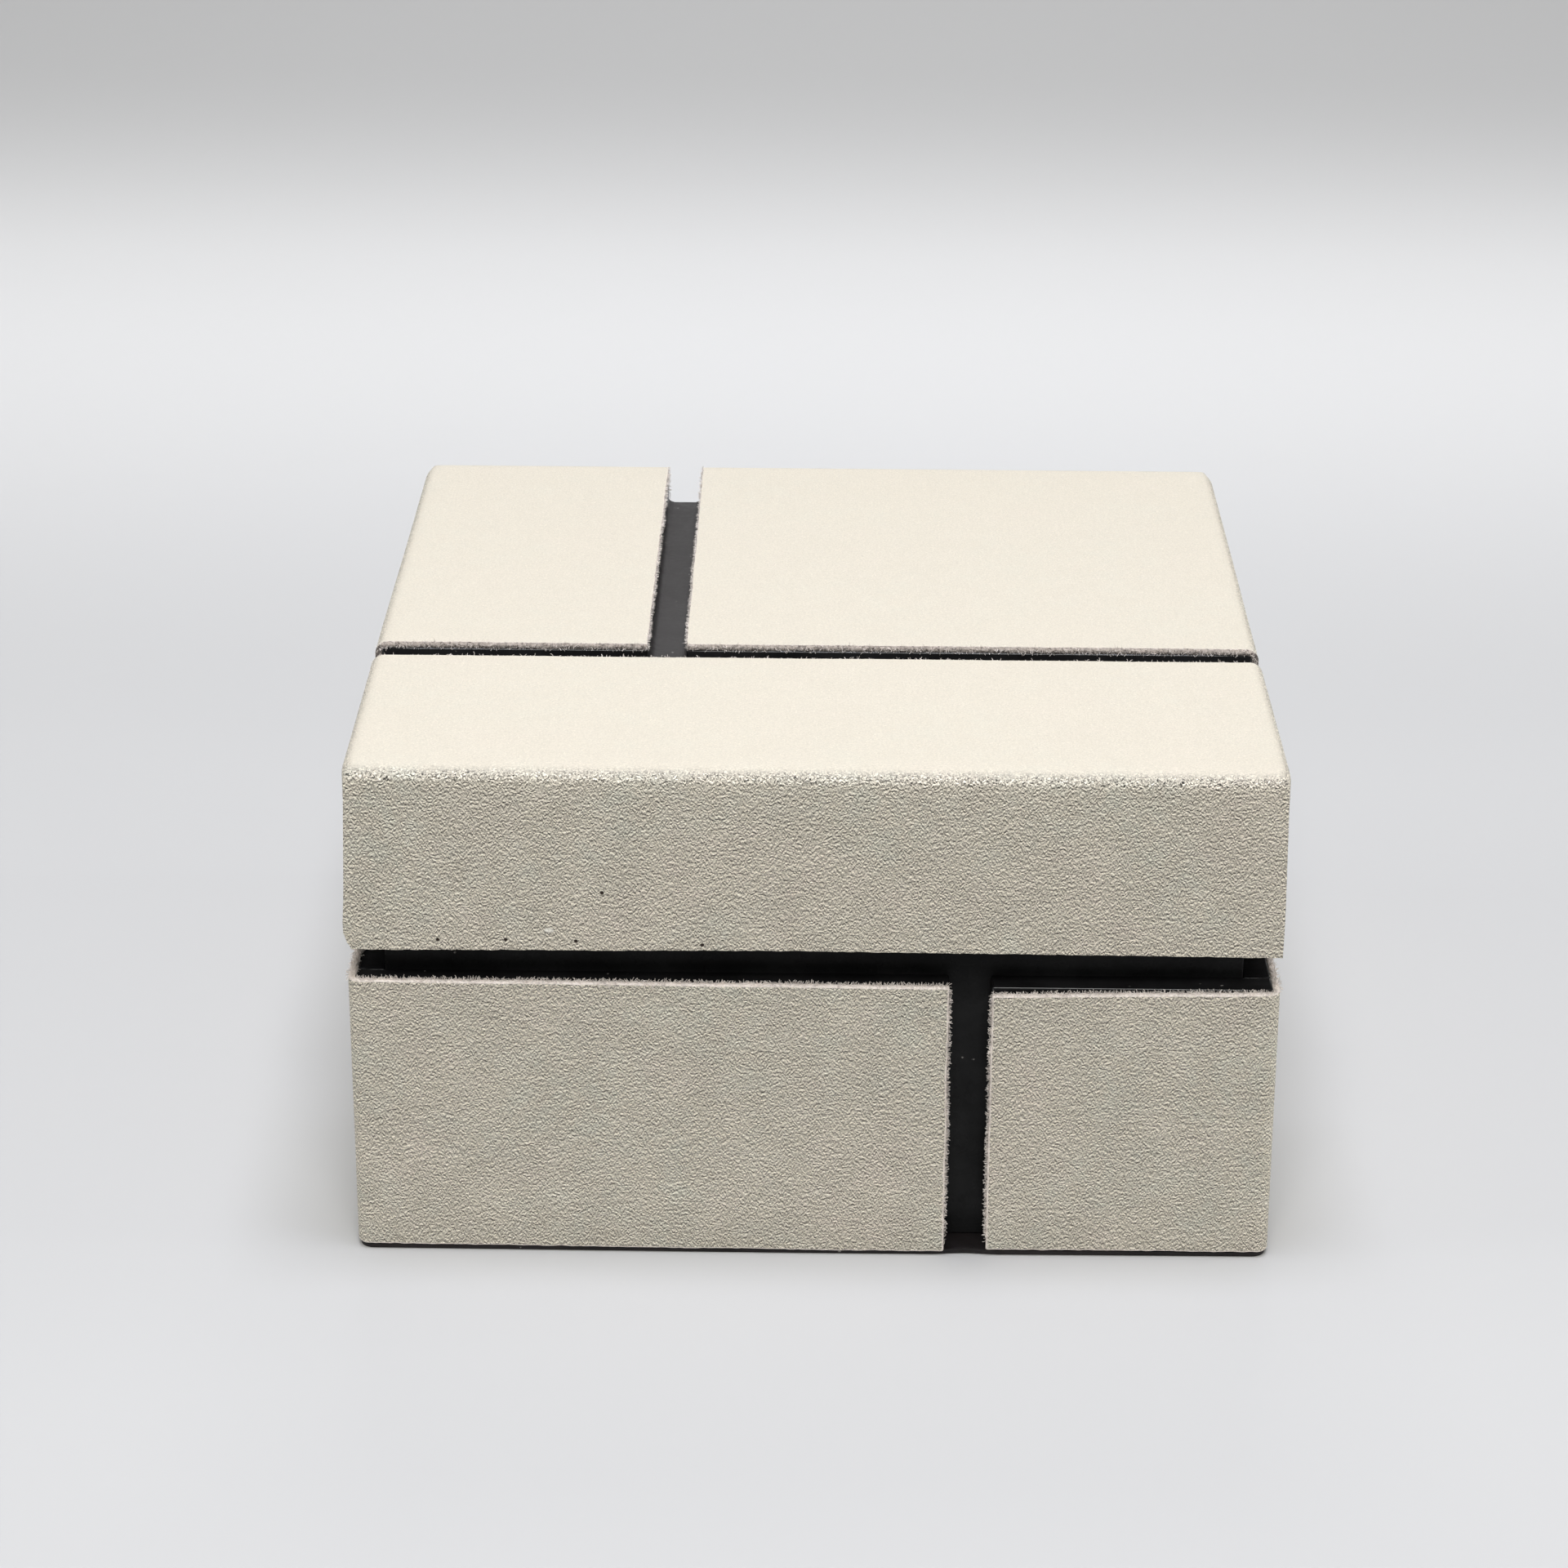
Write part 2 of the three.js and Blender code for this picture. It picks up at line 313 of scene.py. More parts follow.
@dataclass(frozen=True)
class PebbledSkin(Finish):
    """Coated covering embossed with pebbles, with painted highlight on each pebble's upper flank and painted
    shade on its lower one.
    """

    pebble: float = 0.64 * MM
    stretch: float = 0.68
    relief: float = 0.3 * MM
    flank: float = 0.16 * MM
    # The painted highlight and shade on the pebbles' flanks: their strength, their rise with height and the
    # push of the brightest glints; then the painted shade on the fold.
    painted_emboss_contrast: float = 2.05
    painted_emboss_rise: float = 0.3
    glint: float = 0.3
    fold_shade: float = 0.16
    cloudiness: float = 0.25
    flat_above: Pair = (113.2 * MM, 109.8 * MM)
    full_height: float = 115 * MM
    warm: Colour = (0.605, 0.540, 0.457)
    cool: Colour = (0.560, 0.548, 0.462)
    pricks: tuple[Point, ...] = ()
    prick_radius: float = 0.47 * MM
    blisters: tuple[Point, ...] = ()
    blister_radius: float = 1.25 * MM

    def coat(self, graph: Graph, shader: Node, effects: Effects) -> None:
        """Wires the tint, the grain's tone and relief, painted highlight and shade on the pebbles' flanks,
        painted shade on the fold, the blister with its painted highlight, and the pricks.
        """
        place = graph.place()
        lower = graph.vector("SUBTRACT", place, (0.0, 0.0, self.flank))
        shape = {"Size": self.pebble, "Stretch": self.stretch}
        grain = graph.use(effects.pebbles, {"Vector": place} | shape).outputs["Height"]
        beneath = graph.use(effects.pebbles, {"Vector": lower} | shape).outputs["Height"]
        patches = graph.use(effects.mottle, {"Vector": place, "Size": 26 * MM})
        tint = graph.mix(patches.outputs["Patches"], self.cool, self.warm)
        rise = graph.height_of(place)
        shade_and_tone_below, embossed_below = self.flat_above
        upright = graph.remap(rise, shade_and_tone_below, self.full_height, 1.0, 0.1)
        share = graph.math("MULTIPLY_ADD", upright, 0.52, 0.13)
        toned = graph.mix(graph.math("MULTIPLY", patches.outputs["Flecks"], share), self.colour, tint)
        uneven = graph.noise(place, 1 / (9 * MM), 2.0).outputs[0]
        cloudy = graph.math("MULTIPLY", graph.math("SUBTRACT", uneven, 0.5),
                            graph.math("MULTIPLY", upright, self.cloudiness))
        # The painted highlight and shade on the flanks grow stronger with height, and fade out on the top.
        painted_emboss_by_height = graph.math("MULTIPLY_ADD", rise, self.painted_emboss_rise / self.full_height, self.painted_emboss_contrast)
        painted_emboss_strength = graph.math("MULTIPLY", upright, painted_emboss_by_height)
        # Where the grain falls away upwards its flank faces the light from above: painted highlight there,
        # painted shade on the flank below, the brightest made brighter still.
        slope = graph.math("SUBTRACT", beneath, grain)
        painted_flank_light = graph.math("MULTIPLY", slope, graph.math("MULTIPLY_ADD", slope, self.glint, 1.0))
        # Painted shade on the fold between the top and the side.
        onto_fold = graph.remap(rise, self.full_height - 4.5 * MM, self.full_height - 1.5 * MM)
        off_fold = graph.remap(rise, self.full_height - 0.9 * MM, self.full_height - 0.05 * MM)
        folded = graph.math("SUBTRACT", onto_fold, off_fold)
        plain = graph.math("MULTIPLY_ADD", folded, -self.fold_shade, 1.0)
        # lit is the painted light, flank highlight and shade and fold shade, with random cloudy tone added;
        # it multiplies the colour.
        lit = graph.math("MULTIPLY_ADD", painted_flank_light, painted_emboss_strength, graph.math("ADD", plain, cloudy))
        colour = graph.mix(1.0, toned, graph.grey(lit), "MULTIPLY")
        height = grain
        if self.blisters:
            # The blister is a raised bump; its pale colour is a painted highlight where its top catches the
            # light.
            raised_and_highlit = self.spots(graph, self.blisters, self.blister_radius, (1.0, 1.0, 1.8))
            colour = graph.mix(raised_and_highlit, colour, (0.94, 0.90, 0.80))
            height = graph.math("MULTIPLY_ADD", raised_and_highlit, 1.2, height)
        if self.pricks:
            hole = self.spots(graph, self.pricks, self.prick_radius)
            colour = graph.mix(hole, colour, (0.03, 0.018, 0.012))
            height = graph.math("MULTIPLY_ADD", hole, -2.0, height)
        graph.join(colour, shader.inputs["Base Color"])
        matt = graph.remap(grain, 0.2, 0.8, self.roughness + 0.12, self.roughness - 0.06)
        graph.join(matt, shader.inputs["Roughness"])
        broad = graph.bump(uneven, 0.12 * MM)
        flattened = graph.remap(rise, embossed_below, self.full_height, 1.0, 0.1)
        embossed = graph.math("MULTIPLY", height, flattened)
        graph.join(graph.bump(embossed, self.relief, Normal=broad), shader.inputs["Normal"])

    def spots(self, graph: Graph, centres: Sequence[Point], radius: float,
              shape: Point = (1.0, 1.0, 1.0)) -> Socket:
        """Masks round spots of a radius about their centres, with each axis narrowed by shape."""
        place = graph.place()
        nearest: Any = 1.0
        for centre in centres:
            away = graph.vector("MULTIPLY", graph.vector("SUBTRACT", place, centre), shape)
            nearest = graph.math("MINIMUM", graph.vector("LENGTH", away), nearest)
        return graph.remap(nearest, 0.6 * radius, radius, 1.0, 0.0)


@dataclass(frozen=True)
class CutTextile(Finish):
    """The fuzzy knitted backing that shows at a skin's cut edges."""

    # shade is the painted shade in the gaps between the tufts; darkest is the painted shade of the cut edge
    # below the face's top.
    shade: Colour = (0.25, 0.21, 0.195)
    darkest: float = 1.0
    face_top: float = 0.0
    pile: float = 0.3 * MM

    def coat(self, graph: Graph, shader: Node, effects: Effects) -> None:
        """Wires the knitted tufts with painted shade between them, and painted shade below the face's top."""
        place = graph.place()
        tufts = graph.noise(place, 1 / (0.6 * MM), 3.0, Roughness=0.65).outputs[0]
        clumps = graph.use(effects.mottle, {"Vector": place, "Size": 4 * MM}).outputs["Flecks"]
        # Painted shade in the gaps between the tufts, deeper in some clumps than others.
        gaps = graph.remap(tufts, 0.34, 0.58, 1.0, 0.0)
        painted_gap_shade = graph.math("MULTIPLY", gaps, graph.remap(clumps, 0.0, 1.0, 0.3, 0.95))
        rise = graph.height_of(place)
        # Painted shade on the cut edges below the face's top: the upper part stays pale, all that lies lower
        # is darkened.
        wavy = graph.math("MULTIPLY_ADD", tufts, 1.2 * MM, graph.math("SUBTRACT", rise, 0.6 * MM))
        painted_depth_shade = graph.remap(wavy, self.face_top - 1.4 * MM, self.face_top - 0.5 * MM, self.darkest, 1.0)
        knitted = graph.mix(painted_gap_shade, self.colour, self.shade)
        graph.join(graph.mix(1.0, knitted, graph.grey(painted_depth_shade), "MULTIPLY"), shader.inputs["Base Color"])
        graph.join(graph.bump(tufts, self.pile), shader.inputs["Normal"])


@dataclass(frozen=True)
class Fibre(Finish):
    """Loose fibres pulled from a cut edge."""

    def coat(self, graph: Graph, shader: Node, effects: Effects) -> None:
        """Wires paler and darker fibres."""
        patches = graph.use(effects.mottle, {"Vector": graph.place(), "Size": 3 * MM})
        paler = tuple(min(1.0, 1.12 * part) for part in self.colour)
        darker = tuple(0.72 * part for part in self.colour)
        graph.join(graph.mix(patches.outputs["Patches"], darker, paler), shader.inputs["Base Color"])


@dataclass(frozen=True)
class SatinPaint(Finish):
    """Black sprayed paint on smooth board, with a faint orange peel, rubs and a little lint."""

    lint: Colour = (0.34, 0.32, 0.30)
    lint_share: float = 0.05
    patchiness: float = 1.7
    peel: float = 0.012 * MM

    def coat(self, graph: Graph, shader: Node, effects: Effects) -> None:
        """Wires the patches, the lint, the rubs and the orange peel."""
        place = graph.place()
        patches = graph.use(effects.mottle, {"Vector": place, "Size": 16 * MM})
        spread = {"Vector": place, "Spacing": 2.2 * MM, "Amount": self.lint_share}
        specks = graph.use(effects.dust, spread)
        lifted = tuple(part * self.patchiness + 0.002 for part in self.colour)
        toned = graph.mix(patches.outputs["Patches"], self.colour, lifted)
        lint = graph.math("MULTIPLY", specks.outputs["Specks"], 0.8)
        graph.join(graph.mix(lint, toned, self.lint), shader.inputs["Base Color"])
        least, most = self.roughness - 0.05, self.roughness + 0.08
        rubbed = graph.remap(patches.outputs["Flecks"], 0.0, 1.0, least, most)
        graph.join(rubbed, shader.inputs["Roughness"])
        waves = graph.noise(place, 1 / (1.1 * MM), 2.0).outputs[0]
        graph.join(graph.bump(waves, self.peel), shader.inputs["Normal"])


@dataclass(frozen=True)
class Felt(Finish):
    """Short-pile felt with a soft sheen and tiny pale lint."""

    sheen: float = 0.5
    sheen_roughness: float = 0.5
    pile: float = 0.25 * MM

    def coat(self, graph: Graph, shader: Node, effects: Effects) -> None:
        """Wires the sheen, the nap and the lint."""
        shader.inputs["Sheen Weight"].default_value = self.sheen
        shader.inputs["Sheen Roughness"].default_value = self.sheen_roughness
        place = graph.place()
        pile = graph.noise(place, 1 / (0.5 * MM), 4.0, Roughness=0.7).outputs[0]
        patches = graph.use(effects.mottle, {"Vector": place, "Size": 22 * MM})
        specks = graph.use(effects.dust, {"Vector": place, "Spacing": 3.4 * MM, "Amount": 0.06})
        darker = tuple(0.6 * part for part in self.colour)
        napped = graph.mix(graph.remap(pile, 0.3, 0.7), darker, self.colour)
        brushed = graph.mix(graph.math("MULTIPLY", patches.outputs["Patches"], 0.35), napped, self.colour)
        lint = graph.math("MULTIPLY", specks.outputs["Specks"], 0.5)
        graph.join(graph.mix(lint, brushed, (0.3, 0.3, 0.3)), shader.inputs["Base Color"])
        graph.join(graph.bump(pile, self.pile), shader.inputs["Normal"])


@dataclass
class Palette:
    """Every finish of the box, built once."""

    effects: Effects = field(default_factory=Effects.build)
    skin: Material = field(init=False)
    pricked_skin: Material = field(init=False)
    textile: Material = field(init=False)
    lit_rim_textile: Material = field(init=False)
    fibre: Material = field(init=False)
    paint: Material = field(init=False)
    glossy: Material = field(init=False)
    dull: Material = field(init=False)
    dust_and_sheen: Material = field(init=False)
    paper: Material = field(init=False)
    felt: Material = field(init=False)

    def __post_init__(self) -> None:
        """Builds the materials."""
        low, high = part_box("lid_skin_front")
        # Four pricks along the lid's lower front edge, a finger's width apart, and one above them.
        pricked = ((-80.2, 75.5), (-65.7, 75.6), (-50.7, 75.4), (-23.8, 74.8), (-45.0, 86.8))
        pricks = tuple((x * MM, low.y, z * MM) for x, z in pricked)
        blisters = ((-56.4 * MM, low.y, 77.9 * MM),)
        cream = (0.573, 0.527, 0.436)
        finishes = {
            "skin": PebbledSkin("pebbled_skin", cream, 0.56, 0.27),
            "pricked_skin": PebbledSkin("pebbled_skin_pricked", cream, 0.56, 0.27, pricks=pricks,
                                        blisters=blisters),
            # The cut backing comes in two copies that differ by light: the darker one, with painted shade
            # below the lid's top, for the lid's cut edges, and a paler one with paler painted shade in its
            # gaps, as painted light for the base skins' rims, which face up.
            "textile": CutTextile("cut_textile", (0.86, 0.77, 0.70), 0.95, 0.1, darkest=0.28,
                                  face_top=high.z),
            "lit_rim_textile": CutTextile("cut_textile_rim", (0.96, 0.88, 0.80), 0.95, 0.1,
                                      shade=(0.62, 0.53, 0.47)),
            "fibre": Fibre("loose_fibre", (0.90, 0.825, 0.76), 0.9, 0.15),
            "paint": SatinPaint("satin_black_paint", (0.0112, 0.0112, 0.0115), 0.3, 0.05),
            "glossy": SatinPaint("glossy_black_paint", (0.006, 0.006, 0.0065), 0.16, 0.45),
            "dull": SatinPaint("dull_black_paint", (0.008, 0.0078, 0.0082), 0.6, 0.03),
            # Paler black paint for the channel floors: partly dust, partly painted sheen for the grazing
            # reflection they show.
            "dust_and_sheen": SatinPaint("dust_and_sheen_black_paint", (0.041, 0.0385, 0.037), 0.34, 0.16,
                                lint_share=0.08, patchiness=1.15),
            "paper": SatinPaint("black_sheet", (0.010, 0.008, 0.008), 0.5, 0.3, lint_share=0.16),
            "felt": Felt("charcoal_felt", (0.045, 0.045, 0.05), 0.95, 0.1),
        }
        for use, finish in finishes.items():
            setattr(self, use, finish.build(self.effects))


# ---- Mesh helpers


@dataclass
class Patch:
    """A surface being built: points, faces, and each face corner's place on the flat sheet."""

    points: list[Vector] = field(default_factory=list)
    faces: list[tuple[int, ...]] = field(default_factory=list)
    flat: list[Sequence[Pair]] = field(default_factory=list)

    def point(self, place: Iterable[float]) -> int:
        """Adds a point and returns its number."""
        self.points.append(Vector(tuple(place)))
        return len(self.points) - 1

    def quad(self, corners: tuple[int, ...], flat: Sequence[Pair]) -> None:
        """Adds a face by its point numbers, with their places on the flat sheet."""
        self.faces.append(corners)
        self.flat.append(flat)

    def net(self, grid: list[list[int]], across: list[float], along: list[float], way: int = 1) -> None:
        """Adds the faces between the points of a grid.

        Args:
            grid: point numbers, column by column.
            across: each column's place on the flat sheet.
            along: each row's place on the flat sheet.
            way: 1, or -1 to turn the faces over.
        """
        for i in range(len(across) - 1):
            for j in range(len(along) - 1):
                near = [(i, j), (i + 1, j), (i + 1, j + 1), (i, j + 1)][::way]
                self.quad(tuple(grid[a][b] for a, b in near), [(across[a], along[b]) for a, b in near])

    def flat_area(self) -> float:
        """Returns the area of the sheet as it was cut, in square metres."""
        total = 0.0
        for ring in self.flat:
            turns = zip(ring, [*ring[1:], ring[0]])
            total += abs(sum(a[0] * b[1] - b[0] * a[1] for a, b in turns)) / 2
        return total

    def flat_size(self) -> Pair:
        """Returns the width and length of the cut sheet's outline."""
        across = [place[0] for ring in self.flat for place in ring]
        along = [place[1] for ring in self.flat for place in ring]
        return max(across) - min(across), max(along) - min(along)

    def mesh(self, name: str) -> Mesh:
        """Makes the mesh."""
        mesh = bpy.data.meshes.new(name)
        mesh.from_pydata([tuple(p) for p in self.points], [], self.faces)
        mesh.validate()
        return mesh


def wave(seed: float, *place: float) -> float:
    """Gives smooth noise from -1 to 1 at one or two coordinates in units of the pattern's own size."""
    across, along = (*place, 0.0)[:2]
    return noise.noise(Vector((across, along, 7.31 * seed)))


def blend_out(distance: float, reach: float) -> float:
    """Falls smoothly from 1 at no distance, of either sign, to 0 at reach."""
    share = min(1.0, abs(distance) / reach)
    return 1 - share * share * (3 - 2 * share)


def new_object(name: str, mesh: Mesh, *materials: Material) -> Piece:
    """Puts a mesh in the scene, with material slots added to the mesh's own."""
    made = bpy.data.objects.new(name, mesh)
    bpy.context.scene.collection.objects.link(made)
    for material in materials:
        mesh.materials.append(material)
    return made


def freeze(made: Piece) -> Mesh:
    """Applies every modifier of an object and returns its new plain mesh."""
    graph = bpy.context.evaluated_depsgraph_get()
    result = bpy.data.meshes.new_from_object(made.evaluated_get(graph), depsgraph=graph)
    made.modifiers.clear()
    made.data = result
    return result


def settle(made: Piece, smooth_angle: float = 40.0) -> Piece:
    """Applies every modifier to the mesh, turns the faces outwards and shades it.

    Args:
        made: an object with modifiers.
        smooth_angle: faces that meet at less than this, in degrees, are shaded as one surface.

    Returns:
        The same object, with a plain mesh.
    """
    result = freeze(made)
    work = bmesh.new()
    work.from_mesh(result)
    bmesh.ops.recalc_face_normals(work, faces=work.faces)
    work.to_mesh(result)
    work.free()
    result.shade_smooth()
    result.set_sharp_from_angle(angle=math.radians(smooth_angle))
    return made


def dress(made: Piece, body: Body, slot: Slot, *nodes: str) -> Piece:
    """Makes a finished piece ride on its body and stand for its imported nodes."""
    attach(made, body.value)
    if nodes:
        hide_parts(*nodes)
    log.info("%s: %d faces on %s", made.name, len(made.data.polygons), body.value)
    return made


def samples(low: float, high: float, step: float, near_low: Sequence[float] = (),
            near_high: Sequence[float] = ()) -> list[float]:
    """Spaces stations along a length, with extra ones at chosen distances from its ends.

    Args:
        low: where it starts.
        high: where it ends.
        step: the usual spacing.
        near_low: distances of extra stations from the start.
        near_high: distances of extra stations from the end.

    Returns:
        The stations in order.
    """
    start = low + max(near_low, default=0.0)
    end = high - max(near_high, default=0.0)
    count = max(1, round((end - start) / step))
    even = [start + (end - start) * k / count for k in range(count + 1)]
    extra = [low, high, *(low + d for d in near_low), *(high - d for d in near_high)]
    found: list[float] = []
    for value in sorted({*even, *extra}):
        if not found or value - found[-1] > TINY:
            found.append(value)
    return found


# ---- The box's small irregularities


@dataclass(frozen=True)
class Handwork:
    """How the box departs from its drawing: bowed edges, eased corners and one curled corner."""

    outline: float
    lid_edge: float
    lid_top: float
    bow: float = 0.35 * MM
    corner_ease: float = 0.85 * MM
    curl: float = 1.3 * MM
    swell: float = 0.35 * MM
    lean: Pair = (0.15 * MM, 0.65 * MM)
    foot_bulge: float = 0.85 * MM
    droop: Pair = (0.42 * MM, 0.25 * MM)
    fold_sag: float = 0.4 * MM

    def lid(self, p: Vector) -> Vector:
        """Moves a point of the lid from its place as drawn to its place as made."""
        out = p.copy()
        up = p.z - self.lid_edge
        beside = blend_out(self.outline - abs(p.x), 6 * MM)
        in_front = blend_out(self.outline - abs(p.y), 6 * MM)
        low = blend_out(up, 30 * MM)
        bowed = self.bow * (1 - 2 * abs(p.x + 5 * MM) / self.outline)
        left, right = self.droop
        drooped = right + (left - right) * blend_out(max(0.0, p.x - 20 * MM), 32 * MM)
        out.z += low * blend_out(p.y + self.outline, 40 * MM) * (bowed - drooped)
        height = min(1.0, max(0.0, (up - 10 * MM) / (self.lid_top - self.lid_edge - 10 * MM)))
        eased = self.corner_ease * beside * in_front * height
        out.x -= math.copysign(eased, p.x)
        out.y -= math.copysign(0.6 * eased, p.y)
        out.z -= self.fold_sag * blend_out(p.y + self.outline, 6 * MM) * blend_out(self.lid_top - p.z, 5 * MM)
        curled = self.curl * math.exp(-((up / (1.9 * MM)) ** 2))
        swollen = self.swell * math.exp(-(((up - 5.5 * MM) / (4 * MM)) ** 2))
        near_corner = blend_out(p.x + self.outline, 7 * MM) * blend_out(p.y + self.outline, 22 * MM)
        out.x += near_corner * (curled - swollen)
        out.y += 0.25 * near_corner * curled
        out.x += 0.15 * MM * beside * wave(3.0, p.y / (60 * MM), p.z / (30 * MM))
        return out

    def base(self, p: Vector) -> Vector:
        """Moves a point of the base, whose front and right side stand out a little at the foot."""
        out = p.copy()
        top, foot = self.lean
        drop = min(1.0, max(0.0, 1 - p.z / (65 * MM)))
        out.x += blend_out(self.outline - p.x, 14 * MM) * (top + (foot - top) * drop)
        middle = 0.45 + 0.55 * blend_out(p.x, 1.1 * self.outline)
        out.y -= blend_out(p.y + self.outline, 14 * MM) * self.foot_bulge * middle * blend_out(p.z, 35 * MM)
        return out


# ---- Boards


@dataclass
class Board:
    """A board with eased edges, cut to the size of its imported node."""

    node: str
    body: Body
    slot: Slot
    material: Material
    warp: Callable[[Vector], Vector]
    edge: Material | None = None
    ease: float = 0.45 * MM
    ease_steps: int = 3
    cell: float = 7 * MM

    def build(self) -> Piece:
        """Builds the board and stands it in for its node."""
        low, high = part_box(self.node)
        work = bmesh.new()
        bmesh.ops.create_cube(work, size=1.0)
        for axis in range(3):
            self.divide(work, axis, max(1, round((high - low)[axis] / self.cell)))
        middle, size = (low + high) / 2, high - low
        for vertex in work.verts:
            vertex.co = Vector(m + s * c for m, s, c in zip(middle, size, vertex.co))
        sharp = [edge for edge in work.edges if edge.calc_face_angle(0.0) > 1.0]
        ease = min(self.ease, 0.4 * min(size))
        bmesh.ops.bevel(work, geom=sharp, offset=ease, segments=self.ease_steps, profile=0.5,
                        affect="EDGES", clamp_overlap=True, material=1 if self.edge else -1)
        for vertex in work.verts:
            vertex.co = self.warp(vertex.co)
        bmesh.ops.recalc_face_normals(work, faces=work.faces)
        mesh = bpy.data.meshes.new(self.node)
        work.to_mesh(mesh)
        work.free()
        mesh.shade_smooth()
        mesh.set_sharp_from_angle(angle=math.radians(50))
        made = new_object(f"{self.node}_board", mesh, *filter(None, (self.material, self.edge)))
        return dress(made, self.body, self.slot, self.node)

    @staticmethod
    def divide(work: bmesh.types.BMesh, axis: int, count: int) -> None:
        """Cuts the unit cube into slices across axis 0, 1 or 2."""
        normal = Vector([float(k == axis) for k in range(3)])
        for k in range(1, count):
            geometry = [*work.verts, *work.edges, *work.faces]
            spot = normal * (k / count - 0.5)
            bmesh.ops.bisect_plane(work, geom=geometry, plane_co=spot, plane_no=normal, dist=TINY)


@dataclass
class FeltLayer(Board):
    """A thin layer of felt glued to a board."""

    ease: float = 0.35 * MM
    cell: float = 6 * MM

    def build(self) -> Piece:
        made = super().build()
        low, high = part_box(self.node)
        thin, width, length = sorted(high - low)
        made.name = self.node.replace("felt", "lining")
        self.backing()
        log.info("%s: felt %.0f x %.0f mm, %.1f mm thick", made.name, width / MM, length / MM, thin / MM)
        return made

    def backing(self) -> str:
        """Names the node that the felt is glued to."""
        boards = {"floor_felt": "base_floor", "lid_felt": "lid_board"}
        return boards.get(self.node, self.node.replace("felt_", ""))


# ---- Skins

# How far from a cut the extra stations lie that let its edge stray.
CUT_NEAR = (0.4 * MM, 0.9 * MM, 1.7 * MM)


@dataclass
class Skin:
    """A covering of coated cloth, folded over its panels, with frayed cut edges."""

    node: str
    body: Body
    face: Material
    palette: Palette
    warp: Callable[[Vector], Vector]
    backing: tuple[str, ...]
    thickness: float = 1.5 * MM
    fold: float = 3 * MM
    fold_steps: int = 7
    step: float = 1.05 * MM
    rough_cut: float = 0.16 * MM
    seed: int = 1
    outline: float = 0.1
    fibres_per_mm: float = 9.0
    fibre_length: float = 0.7 * MM
    fibre_thickness: float = 0.05 * MM
    fibres_above: float = 106 * MM

    def patch(self) -> Patch:
        """Builds the outer face as a surface.

        Raises:
            NotImplementedError: a kind of skin gives its own.
        """
        raise NotImplementedError

    def cut_finish(self) -> Material:
        """Picks the finish of the cut edges."""
        return self.palette.textile

    def build(self) -> list[Piece]:
        """Builds the skin and its frayed fibres."""
        patch = self.patch()
        patch.points = [self.warp(p) for p in patch.points]
        made = new_object(f"{self.node}_leather", patch.mesh(self.node), self.face, self.cut_finish())
        solid = made.modifiers.new("thickness", "SOLIDIFY")
        solid.thickness = self.thickness
        solid.offset = -1.0
        solid.use_even_offset = True
        solid.use_rim = True
        solid.material_offset_rim = 1
        soft = made.modifiers.new("cut_edge", "BEVEL")
        soft.width = 0.38 * MM
        soft.segments = 3
        soft.material = 1
        soft.limit_method = "ANGLE"
        soft.angle_limit = math.radians(50)
        settle(made)
        dress(made, self.body, Slot.SKIN, self.node)
        fray = Fray(f"{self.node}_fray", self.fibres_per_mm, self.thickness, self.seed, self.fibre_length,
                    self.fibre_thickness, self.fibres_above).build(made, self.palette.fibre)
        dress(fray, self.body, Slot.SKIN)
        patch.flat_size()
        patch.flat_area()
        return [made, fray]

    def raggedness(self, along: float, distance: float, seed: float) -> float:
        """Gives how far a cut edge strays.

        Args:
            along: the place along the cut.
            distance: how far from the cut the point lies.
            seed: picks the cut.

        Returns:
            The shift towards the sheet's inside, in metres.
        """
        fine = wave(seed, along / (1.9 * MM))
        coarse = wave(seed + 0.5, along / (17 * MM))
        return self.rough_cut * (0.9 + fine + 1.1 * coarse) * blend_out(distance, 3 * MM)


